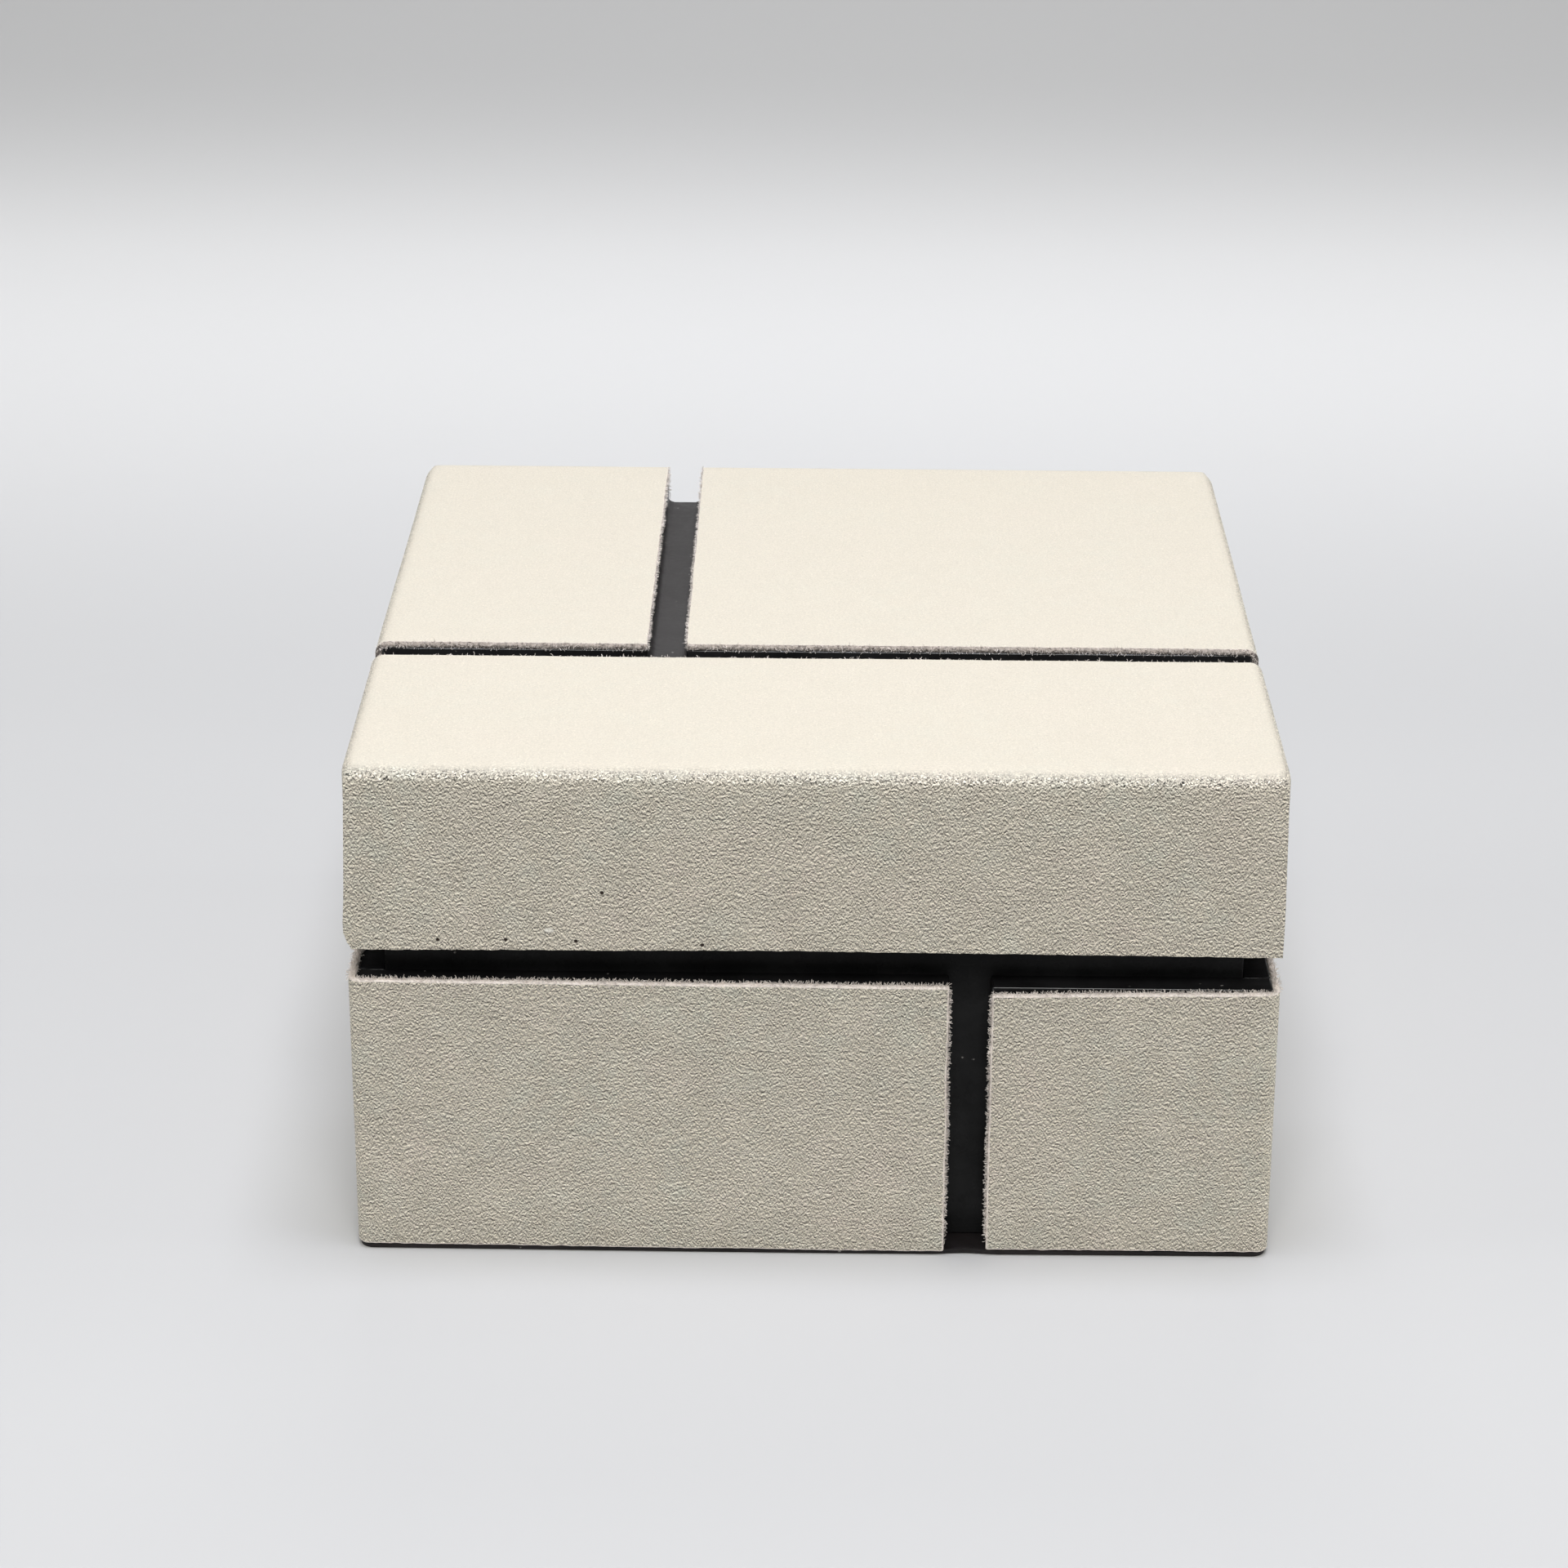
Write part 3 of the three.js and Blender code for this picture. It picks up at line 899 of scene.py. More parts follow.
@dataclass
class LidSkin(Skin):
    """A field of the lid's top with flaps folded down over the sides that it reaches."""

    def patch(self) -> Patch:
        """Builds the field and its flaps as rings that step over the fold and down the sides."""
        low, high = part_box(self.node)
        reach = self.outline - 1e-5
        folded = {
            Side.LEFT: low.x < -reach,
            Side.RIGHT: high.x > reach,
            Side.FRONT: low.y < -reach,
            Side.BACK: high.y > reach,
        }
        seam_near = (1.1 * MM, 1.43 * MM, 1.8 * MM)
        inner = self.outline - self.fold
        x_step = self.step if not (folded[Side.FRONT] and folded[Side.BACK]) else 3 * MM
        y_step = self.step if not (folded[Side.LEFT] and folded[Side.RIGHT]) else 2.4 * MM
        xs = samples(-inner if folded[Side.LEFT] else low.x, inner if folded[Side.RIGHT] else high.x, x_step,
                     () if folded[Side.LEFT] else CUT_NEAR, () if folded[Side.RIGHT] else CUT_NEAR)
        ys = samples(-inner if folded[Side.FRONT] else low.y, inner if folded[Side.BACK] else high.y, y_step,
                     seam_near if folded[Side.FRONT] else CUT_NEAR,
                     seam_near if folded[Side.BACK] else CUT_NEAR)
        rings = self.rings(low.z, high.z)
        patch = Patch()
        grid = [[patch.point((x, y, high.z)) for y in ys] for x in xs]
        patch.net(grid, xs, ys)
        self.flaps(patch, grid, xs, ys, rings, folded)
        patch.points = [self.ragged(p, low, high, folded) for p in patch.points]
        return patch

    def rings(self, low: float, high: float) -> list[tuple[float, float, float]]:
        """Lists the rings from the flat top to the lower edge.

        Args:
            low: the height of the lower edge.
            high: the height of the top.

        Returns:
            Each ring's distance from the centre, its height, and its distance over the surface.
        """
        found = []
        for k in range(1, self.fold_steps + 1):
            turn = math.pi / 2 * k / self.fold_steps
            out = self.outline - self.fold + self.fold * math.sin(turn)
            found.append((out, high - self.fold + self.fold * math.cos(turn), self.fold * turn))
        start = high - self.fold
        arc = self.fold * math.pi / 2
        drops = samples(0.0, start - low, 2.4 * MM, (), CUT_NEAR)[1:]
        return found + [(self.outline, start - drop, arc + drop) for drop in drops]

    def flaps(self, patch: Patch, grid: list[list[int]], xs: list[float], ys: list[float],
              rings: list[tuple[float, float, float]], folded: dict[Side, bool]) -> None:
        """Adds the folds and flaps.

        Args:
            patch: the surface so far.
            grid: the top's point numbers.
            xs: the top's stations along X.
            ys: the top's stations along Y.
            rings: as rings() gives them.
            folded: which sides have a flap.
        """
        last_x, last_y = len(xs) - 1, len(ys) - 1
        edges = {
            Side.FRONT: [((i, 0), (i + 1, 0)) for i in range(last_x)],
            Side.RIGHT: [((last_x, j), (last_x, j + 1)) for j in range(last_y)],
            Side.BACK: [((i + 1, last_y), (i, last_y)) for i in reversed(range(last_x))],
            Side.LEFT: [((0, j + 1), (0, j)) for j in reversed(range(last_y))],
        }
        kept = [(side, pair) for side, pairs in edges.items() if folded[side] for pair in pairs]
        spots = {spot for _, pair in kept for spot in pair}
        above = {spot: grid[spot[0]][spot[1]] for spot in spots}
        over = 0.0
        for out, height, down in rings:
            below = {}
            for i, j in spots:
                x = self.stretched(xs[i], xs[0], xs[-1], -out if folded[Side.LEFT] else xs[0],
                                   out if folded[Side.RIGHT] else xs[-1])
                y = self.stretched(ys[j], ys[0], ys[-1], -out if folded[Side.FRONT] else ys[0],
                                   out if folded[Side.BACK] else ys[-1])
                below[i, j] = patch.point((x, y, height))
            for side, (a, b) in kept:
                (sx, sy), (ax, ay), (bx, by) = side.value, (xs[a[0]], ys[a[1]]), (xs[b[0]], ys[b[1]])
                flat = [(ax + sx * over, ay + sy * over), (ax + sx * down, ay + sy * down),
                        (bx + sx * down, by + sy * down), (bx + sx * over, by + sy * over)]
                patch.quad((above[a], below[a], below[b], above[b]), flat)
            above, over = below, down

    @staticmethod
    def stretched(value: float, low: float, high: float, to_low: float, to_high: float) -> float:
        """Carries a station of the flat top to a wider or equal ring."""
        return to_low + (to_high - to_low) * (value - low) / (high - low)

    def ragged(self, p: Vector, low: Vector, high: Vector, folded: dict[Side, bool]) -> Vector:
        """Strays a point near a cut, and sinks the seam where two flaps meet."""
        out = p.copy()
        seed = 10.0 * self.seed
        if not folded[Side.LEFT]:
            out.x += self.raggedness(p.y - p.z, p.x - low.x, seed)
        if not folded[Side.RIGHT]:
            out.x -= self.raggedness(p.y - p.z, high.x - p.x, seed + 1)
        if not folded[Side.FRONT]:
            out.y += self.raggedness(p.x - p.z, p.y - low.y, seed + 2)
        if not folded[Side.BACK]:
            out.y -= self.raggedness(p.x - p.z, high.y - p.y, seed + 3)
        out.z += self.raggedness(p.x + p.y, p.z - low.z, seed + 4)
        beside = self.outline - abs(p.x) < 0.1 * MM
        into_seam = abs(self.outline - abs(p.y) - 1.48 * MM) < 0.12 * MM
        if beside and into_seam:
            out.x -= math.copysign(0.55 * MM, p.x)
        return out


@dataclass
class BaseSkin(Skin):
    """A strip of covering wrapped from the front channel round one side to the back channel."""

    fibres_per_mm: float = 12.0
    fibre_length: float = 0.75 * MM
    fibre_thickness: float = 0.07 * MM
    fibres_above: float = 3 * MM
    side: Side = Side.LEFT
    front_end: float = 0.0
    back_end: float = 0.0
    top_shift: tuple[Pair, ...] = ()
    foot_shift: tuple[Pair, ...] = ()

    def patch(self) -> Patch:
        """Builds the strip as rows along the way round the box."""
        low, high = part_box(self.node)
        way = self.way_round()
        rows = samples(low.z, high.z, 2.4 * MM, CUT_NEAR, CUT_NEAR)
        patch = Patch()
        length = way[-1][0]
        grid = []
        for along, x, y in way:
            foot = low.z + self.shift(self.foot_shift, x, y)
            top = high.z + self.shift(self.top_shift, x, y)
            column = []
            for z in rows:
                up = LidSkin.stretched(z, low.z, high.z, foot, top)
                up += self.raggedness(along, z - low.z, 3.0 + self.seed)
                up -= self.raggedness(along, high.z - z, 5.0 + self.seed)
                column.append(patch.point(self.strayed(x, y, up, along, length)))
            grid.append(column)
        patch.net(grid, [station[0] for station in way], rows, self.side.value[0])
        return patch

    def cut_finish(self) -> Material:
        """Picks the finish of the cut edges."""
        return self.palette.lit_rim_textile

    def way_round(self) -> list[tuple[float, float, float]]:
        """Walks from the front channel to the back one: distance along the strip, x and y."""
        sign = self.side.value[0]
        straight = self.outline - self.fold
        front = samples(0.0, straight - sign * self.front_end, self.step, CUT_NEAR, ())
        points = [(self.front_end + sign * s, -self.outline) for s in front]
        points += self.corner(sign, -1)
        points += [(sign * self.outline, y) for y in samples(-straight, straight, 1.4 * MM)[1:]]
        points += list(reversed(self.corner(sign, 1)))[1:]
        back = samples(0.0, straight - sign * self.back_end, self.step, CUT_NEAR, ())
        points += [(self.back_end + sign * s, self.outline) for s in reversed(back)]
        way = [(0.0, *points[0])]
        for x, y in points[1:]:
            along, px, py = way[-1]
            gap = math.hypot(x - px, y - py)
            if gap > TINY:
                way.append((along + gap, x, y))
        return way

    def corner(self, sign: int, end: int) -> list[Pair]:
        """Turns a corner of the outline, from the front or back face to the side.

        Args:
            sign: -1 for the left side, 1 for the right.
            end: -1 for the front corner, 1 for the back.

        Returns:
            The stations on the arc.
        """
        centre = self.outline - self.fold
        turns = [math.pi / 2 * k / self.fold_steps for k in range(1, self.fold_steps + 1)]
        return [(sign * (centre + self.fold * math.sin(turn)), end * (centre + self.fold * math.cos(turn)))
                for turn in turns]

    def strayed(self, x: float, y: float, z: float, along: float, length: float) -> Point:
        """Strays a point near the two upright cuts, by its distance along the strip."""
        sign = self.side.value[0]
        shift = self.raggedness(z, along, 7.0 + self.seed) if y < 0 else 0.0
        shift += self.raggedness(z, length - along, 8.0 + self.seed) if y > 0 else 0.0
        return x + sign * shift, y, z

    def shift(self, table: tuple[Pair, ...], x: float, y: float) -> float:
        """Reads an edge's shift off its drawn height along the front, easing to none at the back."""
        (x0, s0), (x1, s1) = table
        share = min(1.0, max(0.0, (x - x0) / (x1 - x0)))
        return (s0 + (s1 - s0) * share) * blend_out(y + self.outline, 1.6 * self.outline)


@dataclass
class Fray:
    """Loose fibres on the cut edges of a skin, scattered by geometry nodes."""

    name: str
    per_mm: float
    cut_width: float
    seed: int
    length: float
    thickness: float
    lowest: float

    def build(self, skin: Piece, material: Material) -> Piece:
        """Grows the fibres on the faces that a skin's second material marks, as a plain mesh."""
        # The copy keeps the skin's material slots, since the tree finds the cut faces by them.
        made = new_object(self.name, skin.data.copy())
        modifier = made.modifiers.new("fray", "NODES")
        modifier.node_group = self.tree(material)
        values = {
            "Density": self.per_mm / MM / self.cut_width,
            "Length": self.length,
            "Thickness": self.thickness,
            "Lowest": self.lowest,
            "Seed": self.seed,
        }
        set_inputs(modifier, values)
        freeze(made).shade_smooth()
        return made

    @staticmethod
    def tree(material: Material) -> Tree:
        """Builds the tree that scatters curved fibres over the cut faces."""
        inputs = {"Geometry": ("Geometry", None)}
        inputs |= {label: ("Float", None) for label in ("Density", "Length", "Thickness", "Lowest")}
        inputs |= {"Seed": ("Int", None)}
        graph, source, target = node_group("fray", "Geometry", inputs, {"Geometry": "Geometry"})
        marked = {2: graph.geo("InputMaterialIndex"), 3: 1}
        cut = graph.add("FunctionNodeCompare", marked, data_type="INT", operation="EQUAL").outputs[0]
        height = graph.height_of(graph.geo("InputPosition"))
        clear = graph.math("GREATER_THAN", height, source.outputs["Lowest"])
        free = graph.math("MULTIPLY", clear, cut)
        seed, length = source.outputs["Seed"], source.outputs["Length"]
        scatter = graph.add("GeometryNodeDistributePointsOnFaces",
                            {"Mesh": source.outputs["Geometry"], "Selection": free,
                             "Density": source.outputs["Density"], "Seed": seed}).outputs
        strand = graph.geo("CurveQuadraticBezier", {"Resolution": 3, "Start": (0.0, 0.0, -0.15),
                                                    "Middle": (0.1, 0.0, 0.75), "End": (0.65, 0.25, 0.9)})
        relative = graph.math("DIVIDE", source.outputs["Thickness"], length)
        section = graph.geo("CurvePrimitiveCircle", {"Resolution": 3, "Radius": relative})
        tube = graph.geo("CurveToMesh", {"Curve": strand, "Profile Curve": section, "Fill Caps": True})
        turns = {0: (-0.75, -0.75, 0.0), 1: (0.75, 0.75, 6.283), "Seed": seed}
        spin = graph.add("FunctionNodeRandomValue", turns, data_type="FLOAT_VECTOR").outputs[0]
        sizes = {2: 0.35, 3: 1.15, "Seed": seed}
        size = graph.add("FunctionNodeRandomValue", sizes, data_type="FLOAT").outputs[1]
        copies = graph.geo("InstanceOnPoints", {"Points": scatter["Points"], "Instance": tube,
                                                "Rotation": scatter["Rotation"],
                                                "Scale": graph.math("MULTIPLY", size, length)})
        turned = graph.geo("RotateInstances", {"Instances": copies, "Rotation": spin, "Local Space": True})
        real = graph.geo("RealizeInstances", {0: turned})
        graph.join(graph.geo("SetMaterial", {"Geometry": real, "Material": material}), target.inputs[0])
        return graph.tree


# ---- Covering sheet and channel corners


@dataclass
class BaseSheet:
    """The thin black sheet under the base, which lifts a little where the front channel leaves it free."""

    node: str
    material: Material
    channel: Pair
    warp: Callable[[Vector], Vector]
    radius: float = 3 * MM
    corner_steps: int = 10
    side_steps: int = 80
    lift: float = 0.45 * MM
    insets: tuple[float, ...] = (0.0, 0.12 * MM, 0.35 * MM, 1 * MM, 2.5 * MM, 5 * MM, 8 * MM, 14 * MM)

    def build(self) -> Piece:
        """Builds the sheet from rings that step in from its outline."""
        low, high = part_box(self.node)
        half = high.x
        patch = Patch()
        upper, lower = ([[patch.point(self.lifted(x, y, z, inset)) for x, y in self.outline(half, inset)]
                         for inset in self.insets] for z in (high.z, low.z))
        for rings in (upper, lower):
            for outer, inner in zip(rings, rings[1:]):
                self.bridge(patch, outer, inner)
            patch.faces.append(tuple(rings[-1]))
        self.bridge(patch, upper[0], lower[0])
        patch.points = [self.warp(p) for p in patch.points]
        made = new_object("base_sheet_paper", patch.mesh(self.node), self.material)
        settle(made, 50)
        return dress(made, Body.BASE, Slot.PAPER, self.node)

    @staticmethod
    def bridge(patch: Patch, outer: list[int], inner: list[int]) -> None:
        """Joins two closed rings with faces."""
        for k in range(len(outer)):
            nxt = (k + 1) % len(outer)
            patch.faces.append((outer[k], outer[nxt], inner[nxt], inner[k]))

    def outline(self, half: float, inset: float) -> list[Pair]:
        """Walks a rounded square at an inset from its edge, with as many stations for every inset."""
        centre = half - self.radius
        reach = max(self.radius - inset, 0.05 * MM)
        centre = min(centre, half - inset - reach)
        found = []
        for quarter in range(4):
            turn = Matrix.Rotation(quarter * math.pi / 2, 2)
            for k in range(self.corner_steps + 1):
                angle = math.pi / 2 * k / self.corner_steps
                spot = turn @ Vector((centre + reach * math.cos(angle), centre + reach * math.sin(angle)))
                found.append((spot.x, spot.y))
            for k in range(1, self.side_steps):
                spot = turn @ Vector((centre - 2 * centre * k / self.side_steps, centre + reach))
                found.append((spot.x, spot.y))
        return found

    def lifted(self, x: float, y: float, z: float, inset: float) -> Point:
        """Lifts the free edge in the channel and eases the sheet's own edge."""
        middle = sum(self.channel) / 2
        free = blend_out(x - middle, 0.85 * (self.channel[1] - self.channel[0])) if y < 0 else 0.0
        edge = blend_out(inset, 6 * MM)
        return x, y + 0.5 * free * edge * self.lift, z + free * edge * self.lift


@dataclass
class ChannelCorners:
    """Paint that has pooled along the inner corners of the channels, swept by geometry nodes."""

    name: str
    body: Body
    runs: tuple[tuple[Point, Point], ...]
    material: Material
    radius: float = 1.5 * MM
    station: float = 4 * MM
    unevenness: float = 0.3
    arc_steps: int = 7

    def build(self) -> Piece:
        """Sweeps a hollow fillet along every run."""
        lines = bpy.data.meshes.new(self.name)
        ends = [place for run in self.runs for place in run]
        lines.from_pydata(ends, [(k, k + 1) for k in range(0, len(ends), 2)], [])
        made = new_object(self.name, lines, self.material)
        modifier = made.modifiers.new("fillets", "NODES")
        modifier.node_group = self.tree()
        values = {"Radius": self.radius, "Station": self.station, "Unevenness": self.unevenness}
        set_inputs(modifier, values)
        settle(made, 40)
        return dress(made, self.body, Slot.PAINT)

    def tree(self) -> Tree:
        """Builds the tree that sweeps a hollow section on the left of each line's own way."""
        inputs = {"Geometry": ("Geometry", None)}
        inputs |= {label: ("Float", None) for label in ("Radius", "Station", "Unevenness")}
        graph, source, target = node_group("fillets", "Geometry", inputs, {"Geometry": "Geometry"})
        bare = graph.geo("MeshToCurve", {"Mesh": graph.geo("MeshLine", {"Count": self.arc_steps + 2})})
        closed = graph.geo("SetSplineCyclic", {"Geometry": bare, "Cyclic": True})
        index = graph.geo("InputIndex")
        turn = graph.math("MULTIPLY", index, math.pi / 2 / self.arc_steps)
        on_arc = graph.math("LESS_THAN", index, self.arc_steps + 0.5)
        # The section's axes point to the right of the way and down, so both are turned round.
        reach = graph.math("MULTIPLY", graph.math("MULTIPLY", source.outputs["Radius"], on_arc), -1.0)
        across, upward = (graph.math("MULTIPLY", graph.math("SUBTRACT", 1.0, graph.math(curve, turn)), reach)
                          for curve in ("SINE", "COSINE"))
        spot = graph.add("ShaderNodeCombineXYZ", {0: across, 1: upward}).outputs[0]
        section = graph.geo("SetPosition", {"Geometry": closed, "Position": spot})
        runs = graph.geo("MeshToCurve", {"Mesh": source.outputs["Geometry"]})
        even = graph.geo("ResampleCurve", {"Curve": runs, "Length": source.outputs["Station"]}, mode="LENGTH")
        level = graph.geo("SetCurveNormal", {"Curve": even}, mode="Z_UP")
        swell = graph.math("SUBTRACT", graph.noise(graph.geo("InputPosition"), 55.0, 1.0).outputs[0], 0.5)
        share = graph.math("MULTIPLY_ADD", swell, source.outputs["Unevenness"], 1.0)
        uneven = graph.geo("SetCurveRadius", {"Curve": level, "Radius": share})
        swept = graph.geo("CurveToMesh", {"Curve": uneven, "Profile Curve": section, "Fill Caps": True})
        real = graph.geo("RealizeInstances", {0: swept})
        graph.join(graph.geo("SetMaterial", {"Geometry": real, "Material": self.material}), target.inputs[0])
        return graph.tree


# ---- The box


def nodes_of(body: Body, *words: str) -> list[str]:
    """Lists a body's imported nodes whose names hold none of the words."""
    names = frame["record"]["behaviour"]["bodies"][body.value]
    return [name for name in names if not any(word in name for word in words)]


@dataclass
class Base:
    """The lower half: sheet, floor, walls, panels, liner, felt and two wrapped skins."""

    palette: Palette
    handwork: Handwork

    def build(self) -> list[Piece]:
        """Builds every piece of the base."""
        return [*self.boards(), *self.felts(), self.sheet(), *self.skins()]

    def boards(self) -> list[Piece]:
        """Builds the painted boards."""
        wooden = nodes_of(Body.BASE, "skin", "felt", "base_sheet")
        # Little light reaches the panels, so their flat faces look dull and their rubbed edges shine.
        finish = {n: (self.palette.dull, self.palette.glossy) for n in wooden if "panel" in n}
        finish |= {n: (self.palette.dull, None) for n in ("base_wall_left", "base_wall_right")}
        plain = (self.palette.paint, None)
        return [Board(n, Body.BASE, Slot.PAINT, finish.get(n, plain)[0], self.handwork.base,
                      finish.get(n, plain)[1]).build() for n in wooden]

    def felts(self) -> list[Piece]:
        """Builds the felt on the liner and the floor."""
        return [FeltLayer(n, Body.BASE, Slot.FELT, self.palette.felt, self.handwork.base).build()
                for n in nodes_of(Body.BASE) if "felt" in n]

    def sheet(self) -> Piece:
        """Builds the covering sheet under the base."""
        channel = (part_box("base_panel_front_left")[1].x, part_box("base_panel_front_right")[0].x)
        return BaseSheet("base_sheet", self.palette.paper, channel, self.handwork.base).build()

    def skins(self) -> list[Piece]:
        """Builds the two wrapped skins."""
        shifts = {
            Side.LEFT: (((-95 * MM, 0.2 * MM), (25 * MM, -0.2 * MM)),
                        ((-95 * MM, 0.0), (25 * MM, -0.35 * MM))),
            Side.RIGHT: (((40 * MM, -0.45 * MM), (95 * MM, 0.4 * MM)),
                         ((40 * MM, 0.1 * MM), (95 * MM, 0.1 * MM))),
        }
        made = []
        for seed, (side, (top_shift, foot_shift)) in enumerate(shifts.items(), start=11):
            name = side.name.lower()
            front, flank, back = (f"base_panel_{part}" for part in (f"front_{name}", name, f"back_{name}"))
            # The panel's end at the channel is the one nearer to the other side.
            end = int(side is Side.LEFT)
            made += BaseSkin(
                f"base_skin_{name}", Body.BASE, self.palette.skin, self.palette, self.handwork.base,
                (front, flank, back), seed=seed, side=side, front_end=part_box(front)[end].x,
                back_end=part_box(back)[end].x, top_shift=top_shift, foot_shift=foot_shift,
            ).build()
        return made


@dataclass
class Lid:
    """The upper half: board, walls, panels, felt, three folded skins and the painted channel corners."""

    palette: Palette
    handwork: Handwork

    def build(self) -> list[Piece]:
        """Builds every piece of the lid."""
        wooden = nodes_of(Body.LID, "skin", "felt")
        # Dust, and a painted sheen for its grazing reflection, make the top board, which is the floor of the
        # open channels, paler.
        finish = {n: self.palette.dust_and_sheen if n == "lid_board" else self.palette.paint for n in wooden}
        edges = {n: self.palette.glossy for n in wooden if "panel" in n}
        made = [Board(n, Body.LID, Slot.PAINT, finish[n], self.handwork.lid, edges.get(n)).build()
                for n in wooden]
        made.append(FeltLayer("lid_felt", Body.LID, Slot.FELT, self.palette.felt, self.handwork.base).build())
        return [*made, *self.skins(), self.corners()]

    def skins(self) -> list[Piece]:
        """Builds the three folded skins."""
        backing = {
            "front": ("top_panel_front", "panel_front", "panel_left_front", "panel_right_front"),
            "rear_left": ("top_panel_rear_left", "panel_left_rear", "panel_back_left"),
            "rear_right": ("top_panel_rear_right", "panel_right_rear", "panel_back_right"),
        }
        made = []
        for seed, (name, panels) in enumerate(backing.items(), start=1):
            face = self.palette.pricked_skin if name == "front" else self.palette.skin
            under = tuple(f"lid_{panel}" for panel in panels)
            made += LidSkin(f"lid_skin_{name}", Body.LID, face, self.palette, self.handwork.lid, under,
                            seed=seed).build()
        return made

    def corners(self) -> Piece:
        """Builds the pooled paint in the inner corners of the top channels."""
        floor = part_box("lid_board")[1].z
        cross = (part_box("lid_top_panel_front")[1].y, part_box("lid_top_panel_rear_left")[0].y)
        split = (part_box("lid_top_panel_rear_left")[1].x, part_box("lid_top_panel_rear_right")[0].x)
        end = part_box("lid_board")[1].x - 0.05 * MM
        # Each run goes the way that has the open channel on its left.
        runs = (
            ((-end, cross[0], floor), (end, cross[0], floor)),
            ((split[0], cross[1], floor), (-end, cross[1], floor)),
            ((end, cross[1], floor), (split[1], cross[1], floor)),
            ((split[0], end, floor), (split[0], cross[1], floor)),
            ((split[1], cross[1], floor), (split[1], end, floor)),
        )
        return ChannelCorners("lid_channel_corners", Body.LID, runs, self.palette.dust_and_sheen).build()


# ---- The set


@dataclass(frozen=True)
class Lamp:
    """A soft rectangular light that faces the box."""

    name: str
    place: Point
    size: Pair
    power: float  # watts
    colour: Colour = (1.0, 0.996, 0.968)
    target: Point = (0.0, 0.0, 0.05)

    def build(self) -> None:
        """Hangs the light."""
        data = bpy.data.lights.new(self.name, "AREA")
        data.shape = "RECTANGLE"
        data.size, data.size_y = self.size
        data.energy = self.power
        data.color = self.colour
        made = bpy.data.objects.new(self.name, data)
        aim = (Vector(self.place) - Vector(self.target)).to_track_quat("Z", "Y")
        made.matrix_world = Matrix.Translation(self.place) @ aim.to_matrix().to_4x4()
        bpy.context.scene.collection.objects.link(made)


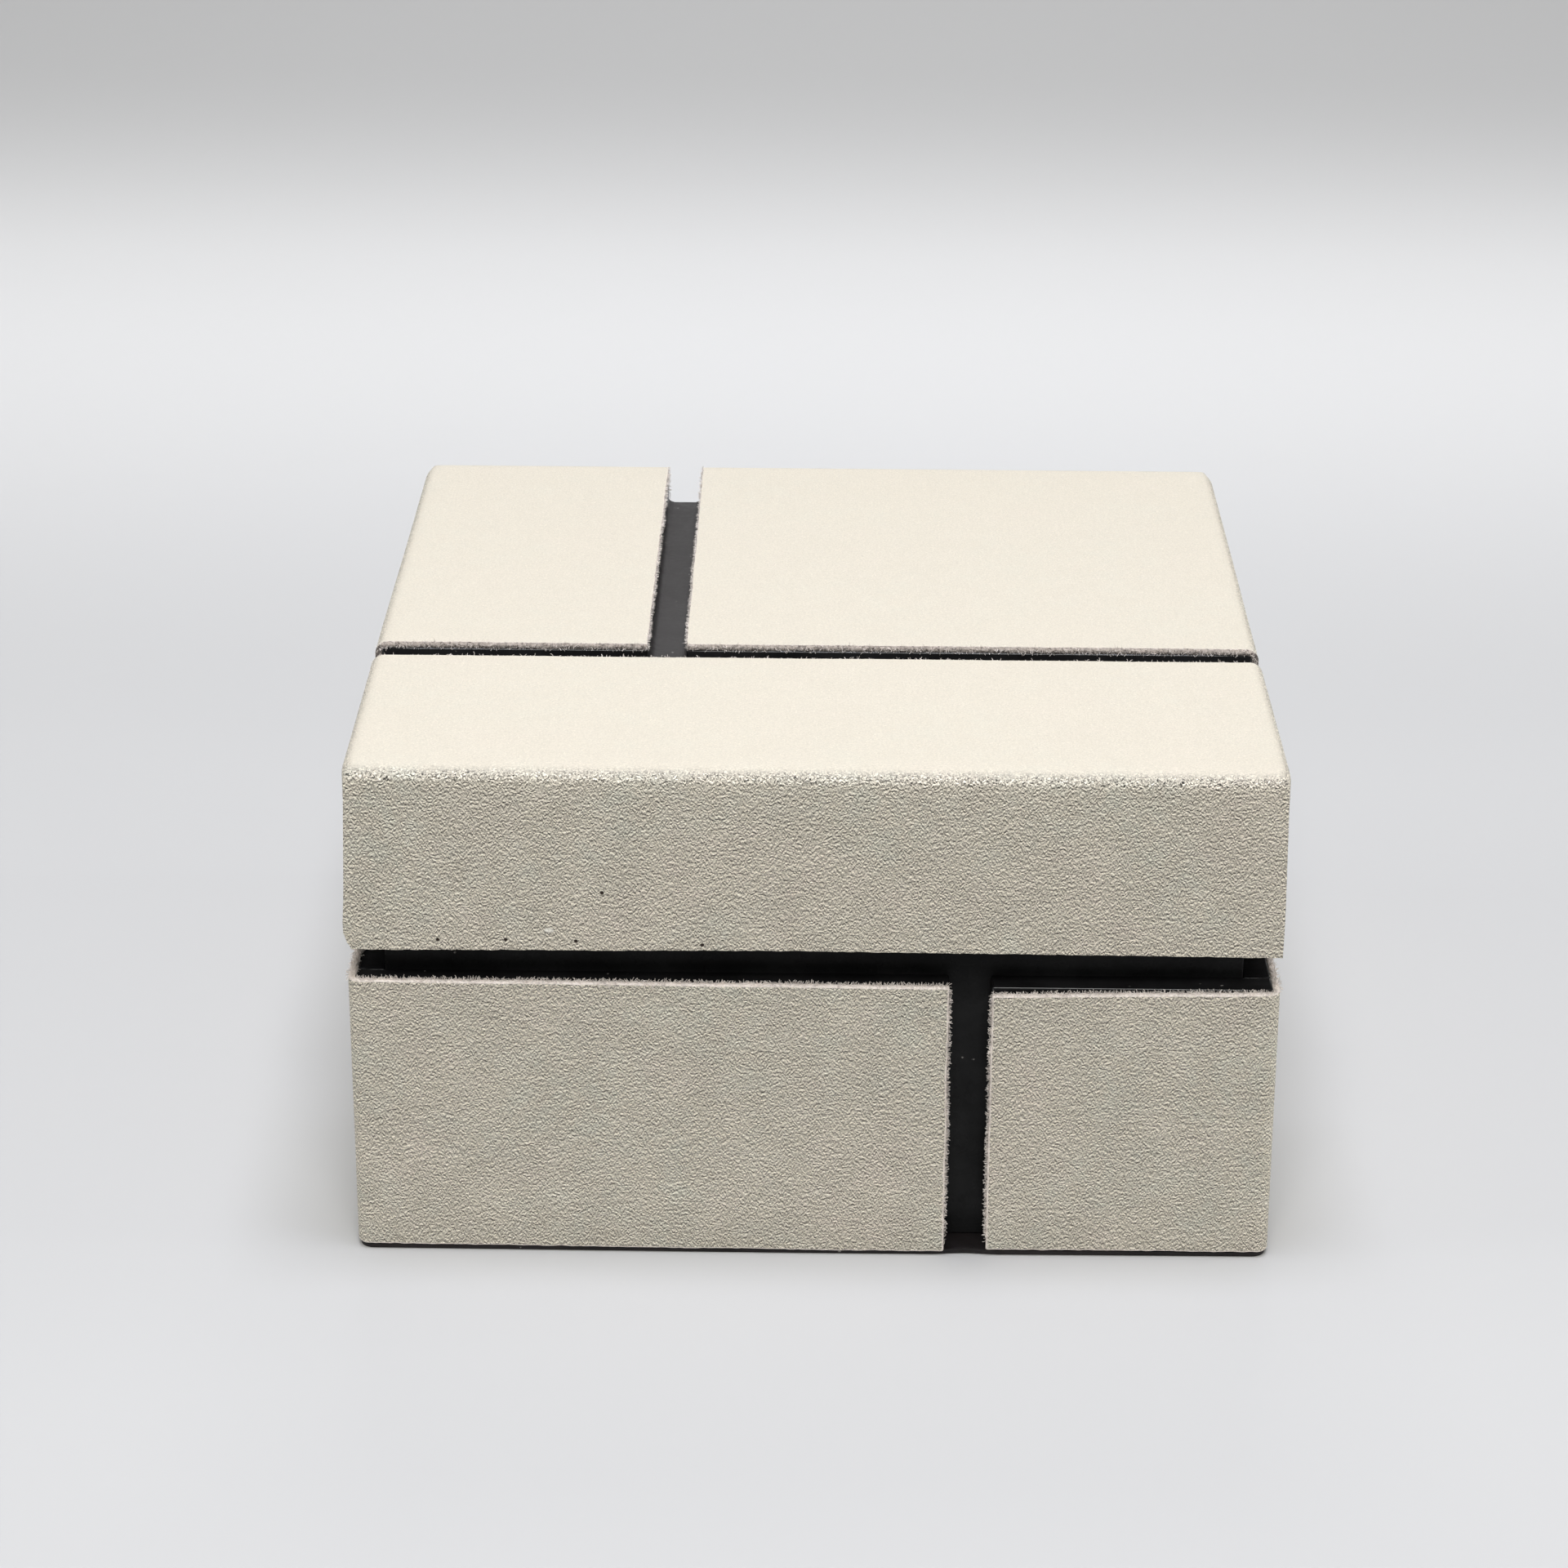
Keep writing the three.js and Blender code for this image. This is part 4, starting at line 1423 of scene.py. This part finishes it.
@dataclass(frozen=True)
class Studio:
    """A plain pale sweep, soft light from above and the camera."""

    camera_place: Point = (0.5 * MM, -862.2 * MM, 440.3 * MM)
    tilt: float = 23.28  # degrees below level
    turn: float = 0.53  # degrees towards the left
    roll: float = 0.34  # degrees, right side lower
    lens: float = 91.0
    sensor: float = 36.0
    sweep_start: float = 0.75
    sweep_radius: float = 1.6
    sweep_turn: float = 85.0  # degrees
    sweep_steps: int = 32
    floor_front: float = -7.0
    half_width: float = 6.0

    def build(self) -> None:
        """Builds the camera, the light and the sweep."""
        self.camera()
        self.lights()
        self.sweep()

    def camera(self) -> None:
        """Places the camera at its viewing angle."""
        data = bpy.data.cameras.new("camera")
        data.lens = self.lens
        data.sensor_width = self.sensor
        data.clip_start = 0.01
        data.clip_end = 50.0
        made = bpy.data.objects.new("camera", data)
        bpy.context.scene.collection.objects.link(made)
        level = Matrix.Rotation(math.radians(90 - self.tilt), 4, "X")
        turned = Matrix.Rotation(math.radians(self.turn), 4, "Z") @ level
        made.matrix_world = (
            Matrix.Translation(self.camera_place) @ turned @ Matrix.Rotation(math.radians(self.roll), 4, "Z")
        )
        bpy.context.scene.camera = made

    @staticmethod
    def lights() -> None:
        """Hangs a large soft light overhead and weak fill lights around, in a dim plain room."""
        scene = bpy.context.scene
        scene.view_settings.view_transform = "Standard"
        world = bpy.data.worlds.new("room")
        world.use_nodes = True
        backdrop = world.node_tree.nodes["Background"]
        backdrop.inputs["Color"].default_value = (1.0, 0.995, 0.985, 1.0)
        backdrop.inputs["Strength"].default_value = 0.32
        scene.world = world
        lamps = (
            Lamp("softbox", (0.02, -0.10, 1.4), (0.5, 0.4), 13.2, (0.972, 1.0, 1.12)),
            Lamp("fill_left", (-1.2, -0.1, 0.9), (0.6, 0.6), 3.4),
            Lamp("fill_right", (1.4, 0.0, 0.45), (0.5, 0.5), 5.3),
            Lamp("fill_front", (0.0, -1.0, 1.3), (0.6, 0.5), 9.9),
            Lamp("fill_back", (0.0, 1.1, 1.2), (0.6, 0.5), 3.0),
        )
        for lamp in lamps:
            lamp.build()

    def sweep(self) -> None:
        """Builds the pale floor that sweeps up into the backdrop, painted lighter in a band behind the box
        and darker further back.
        """
        material = bpy.data.materials.new("pale_floor")
        material.use_nodes = True
        graph = Graph(material.node_tree)
        shader = material.node_tree.nodes["Principled BSDF"]
        place = graph.place()
        depth = graph.add("ShaderNodeSeparateXYZ", {0: place}).outputs["Y"]
        # Painted light on the floor: brighter in a band behind the box, darker beyond it, as the light falls
        # off.
        painted_light_band = graph.remap(depth, 0.2, 0.64, 0.0, 0.44)
        darker = graph.remap(depth, 0.68, 0.98, 0.0, 0.37)
        share = graph.math("SUBTRACT", graph.math("ADD", painted_light_band, 1.0), darker)
        tone = graph.noise(place, 1.3, 2.0).outputs[0]
        grey = graph.mix(tone, (0.504, 0.503, 0.495), (0.514, 0.512, 0.504))
        graph.join(graph.mix(1.0, grey, graph.grey(share), "MULTIPLY"), shader.inputs["Base Color"])
        shader.inputs["Roughness"].default_value = 0.85
        shader.inputs["Specular IOR Level"].default_value = 0.2
        profile = [(self.floor_front, 0.0), (self.sweep_start, 0.0)]
        for k in range(1, self.sweep_steps + 1):
            turn = math.radians(self.sweep_turn) * k / self.sweep_steps
            profile.append((self.sweep_start + self.sweep_radius * math.sin(turn),
                            self.sweep_radius * (1 - math.cos(turn))))
        patch = Patch()
        rows = [[patch.point((x, y, z)) for x in (-self.half_width, self.half_width)] for y, z in profile]
        for before, after in zip(rows, rows[1:]):
            patch.faces.append((before[0], before[1], after[1], after[0]))
        floor = new_object("sweep", patch.mesh("sweep"), material)
        floor.data.shade_smooth()


def main() -> None:
    """Builds the box around its frame, then the set."""
    logging.basicConfig(level=logging.INFO, format="%(name)s: %(message)s")
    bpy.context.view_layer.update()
    palette = Palette()
    lid_low, lid_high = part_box("lid_skin_front")
    handwork = Handwork(outline=lid_high.x, lid_edge=lid_low.z, lid_top=lid_high.z)
    pieces = [*Base(palette, handwork).build(), *Lid(palette, handwork).build()]
    Studio().build()
    log.info("%d pieces built", len(pieces))


if __name__ == "__main__":
    main()
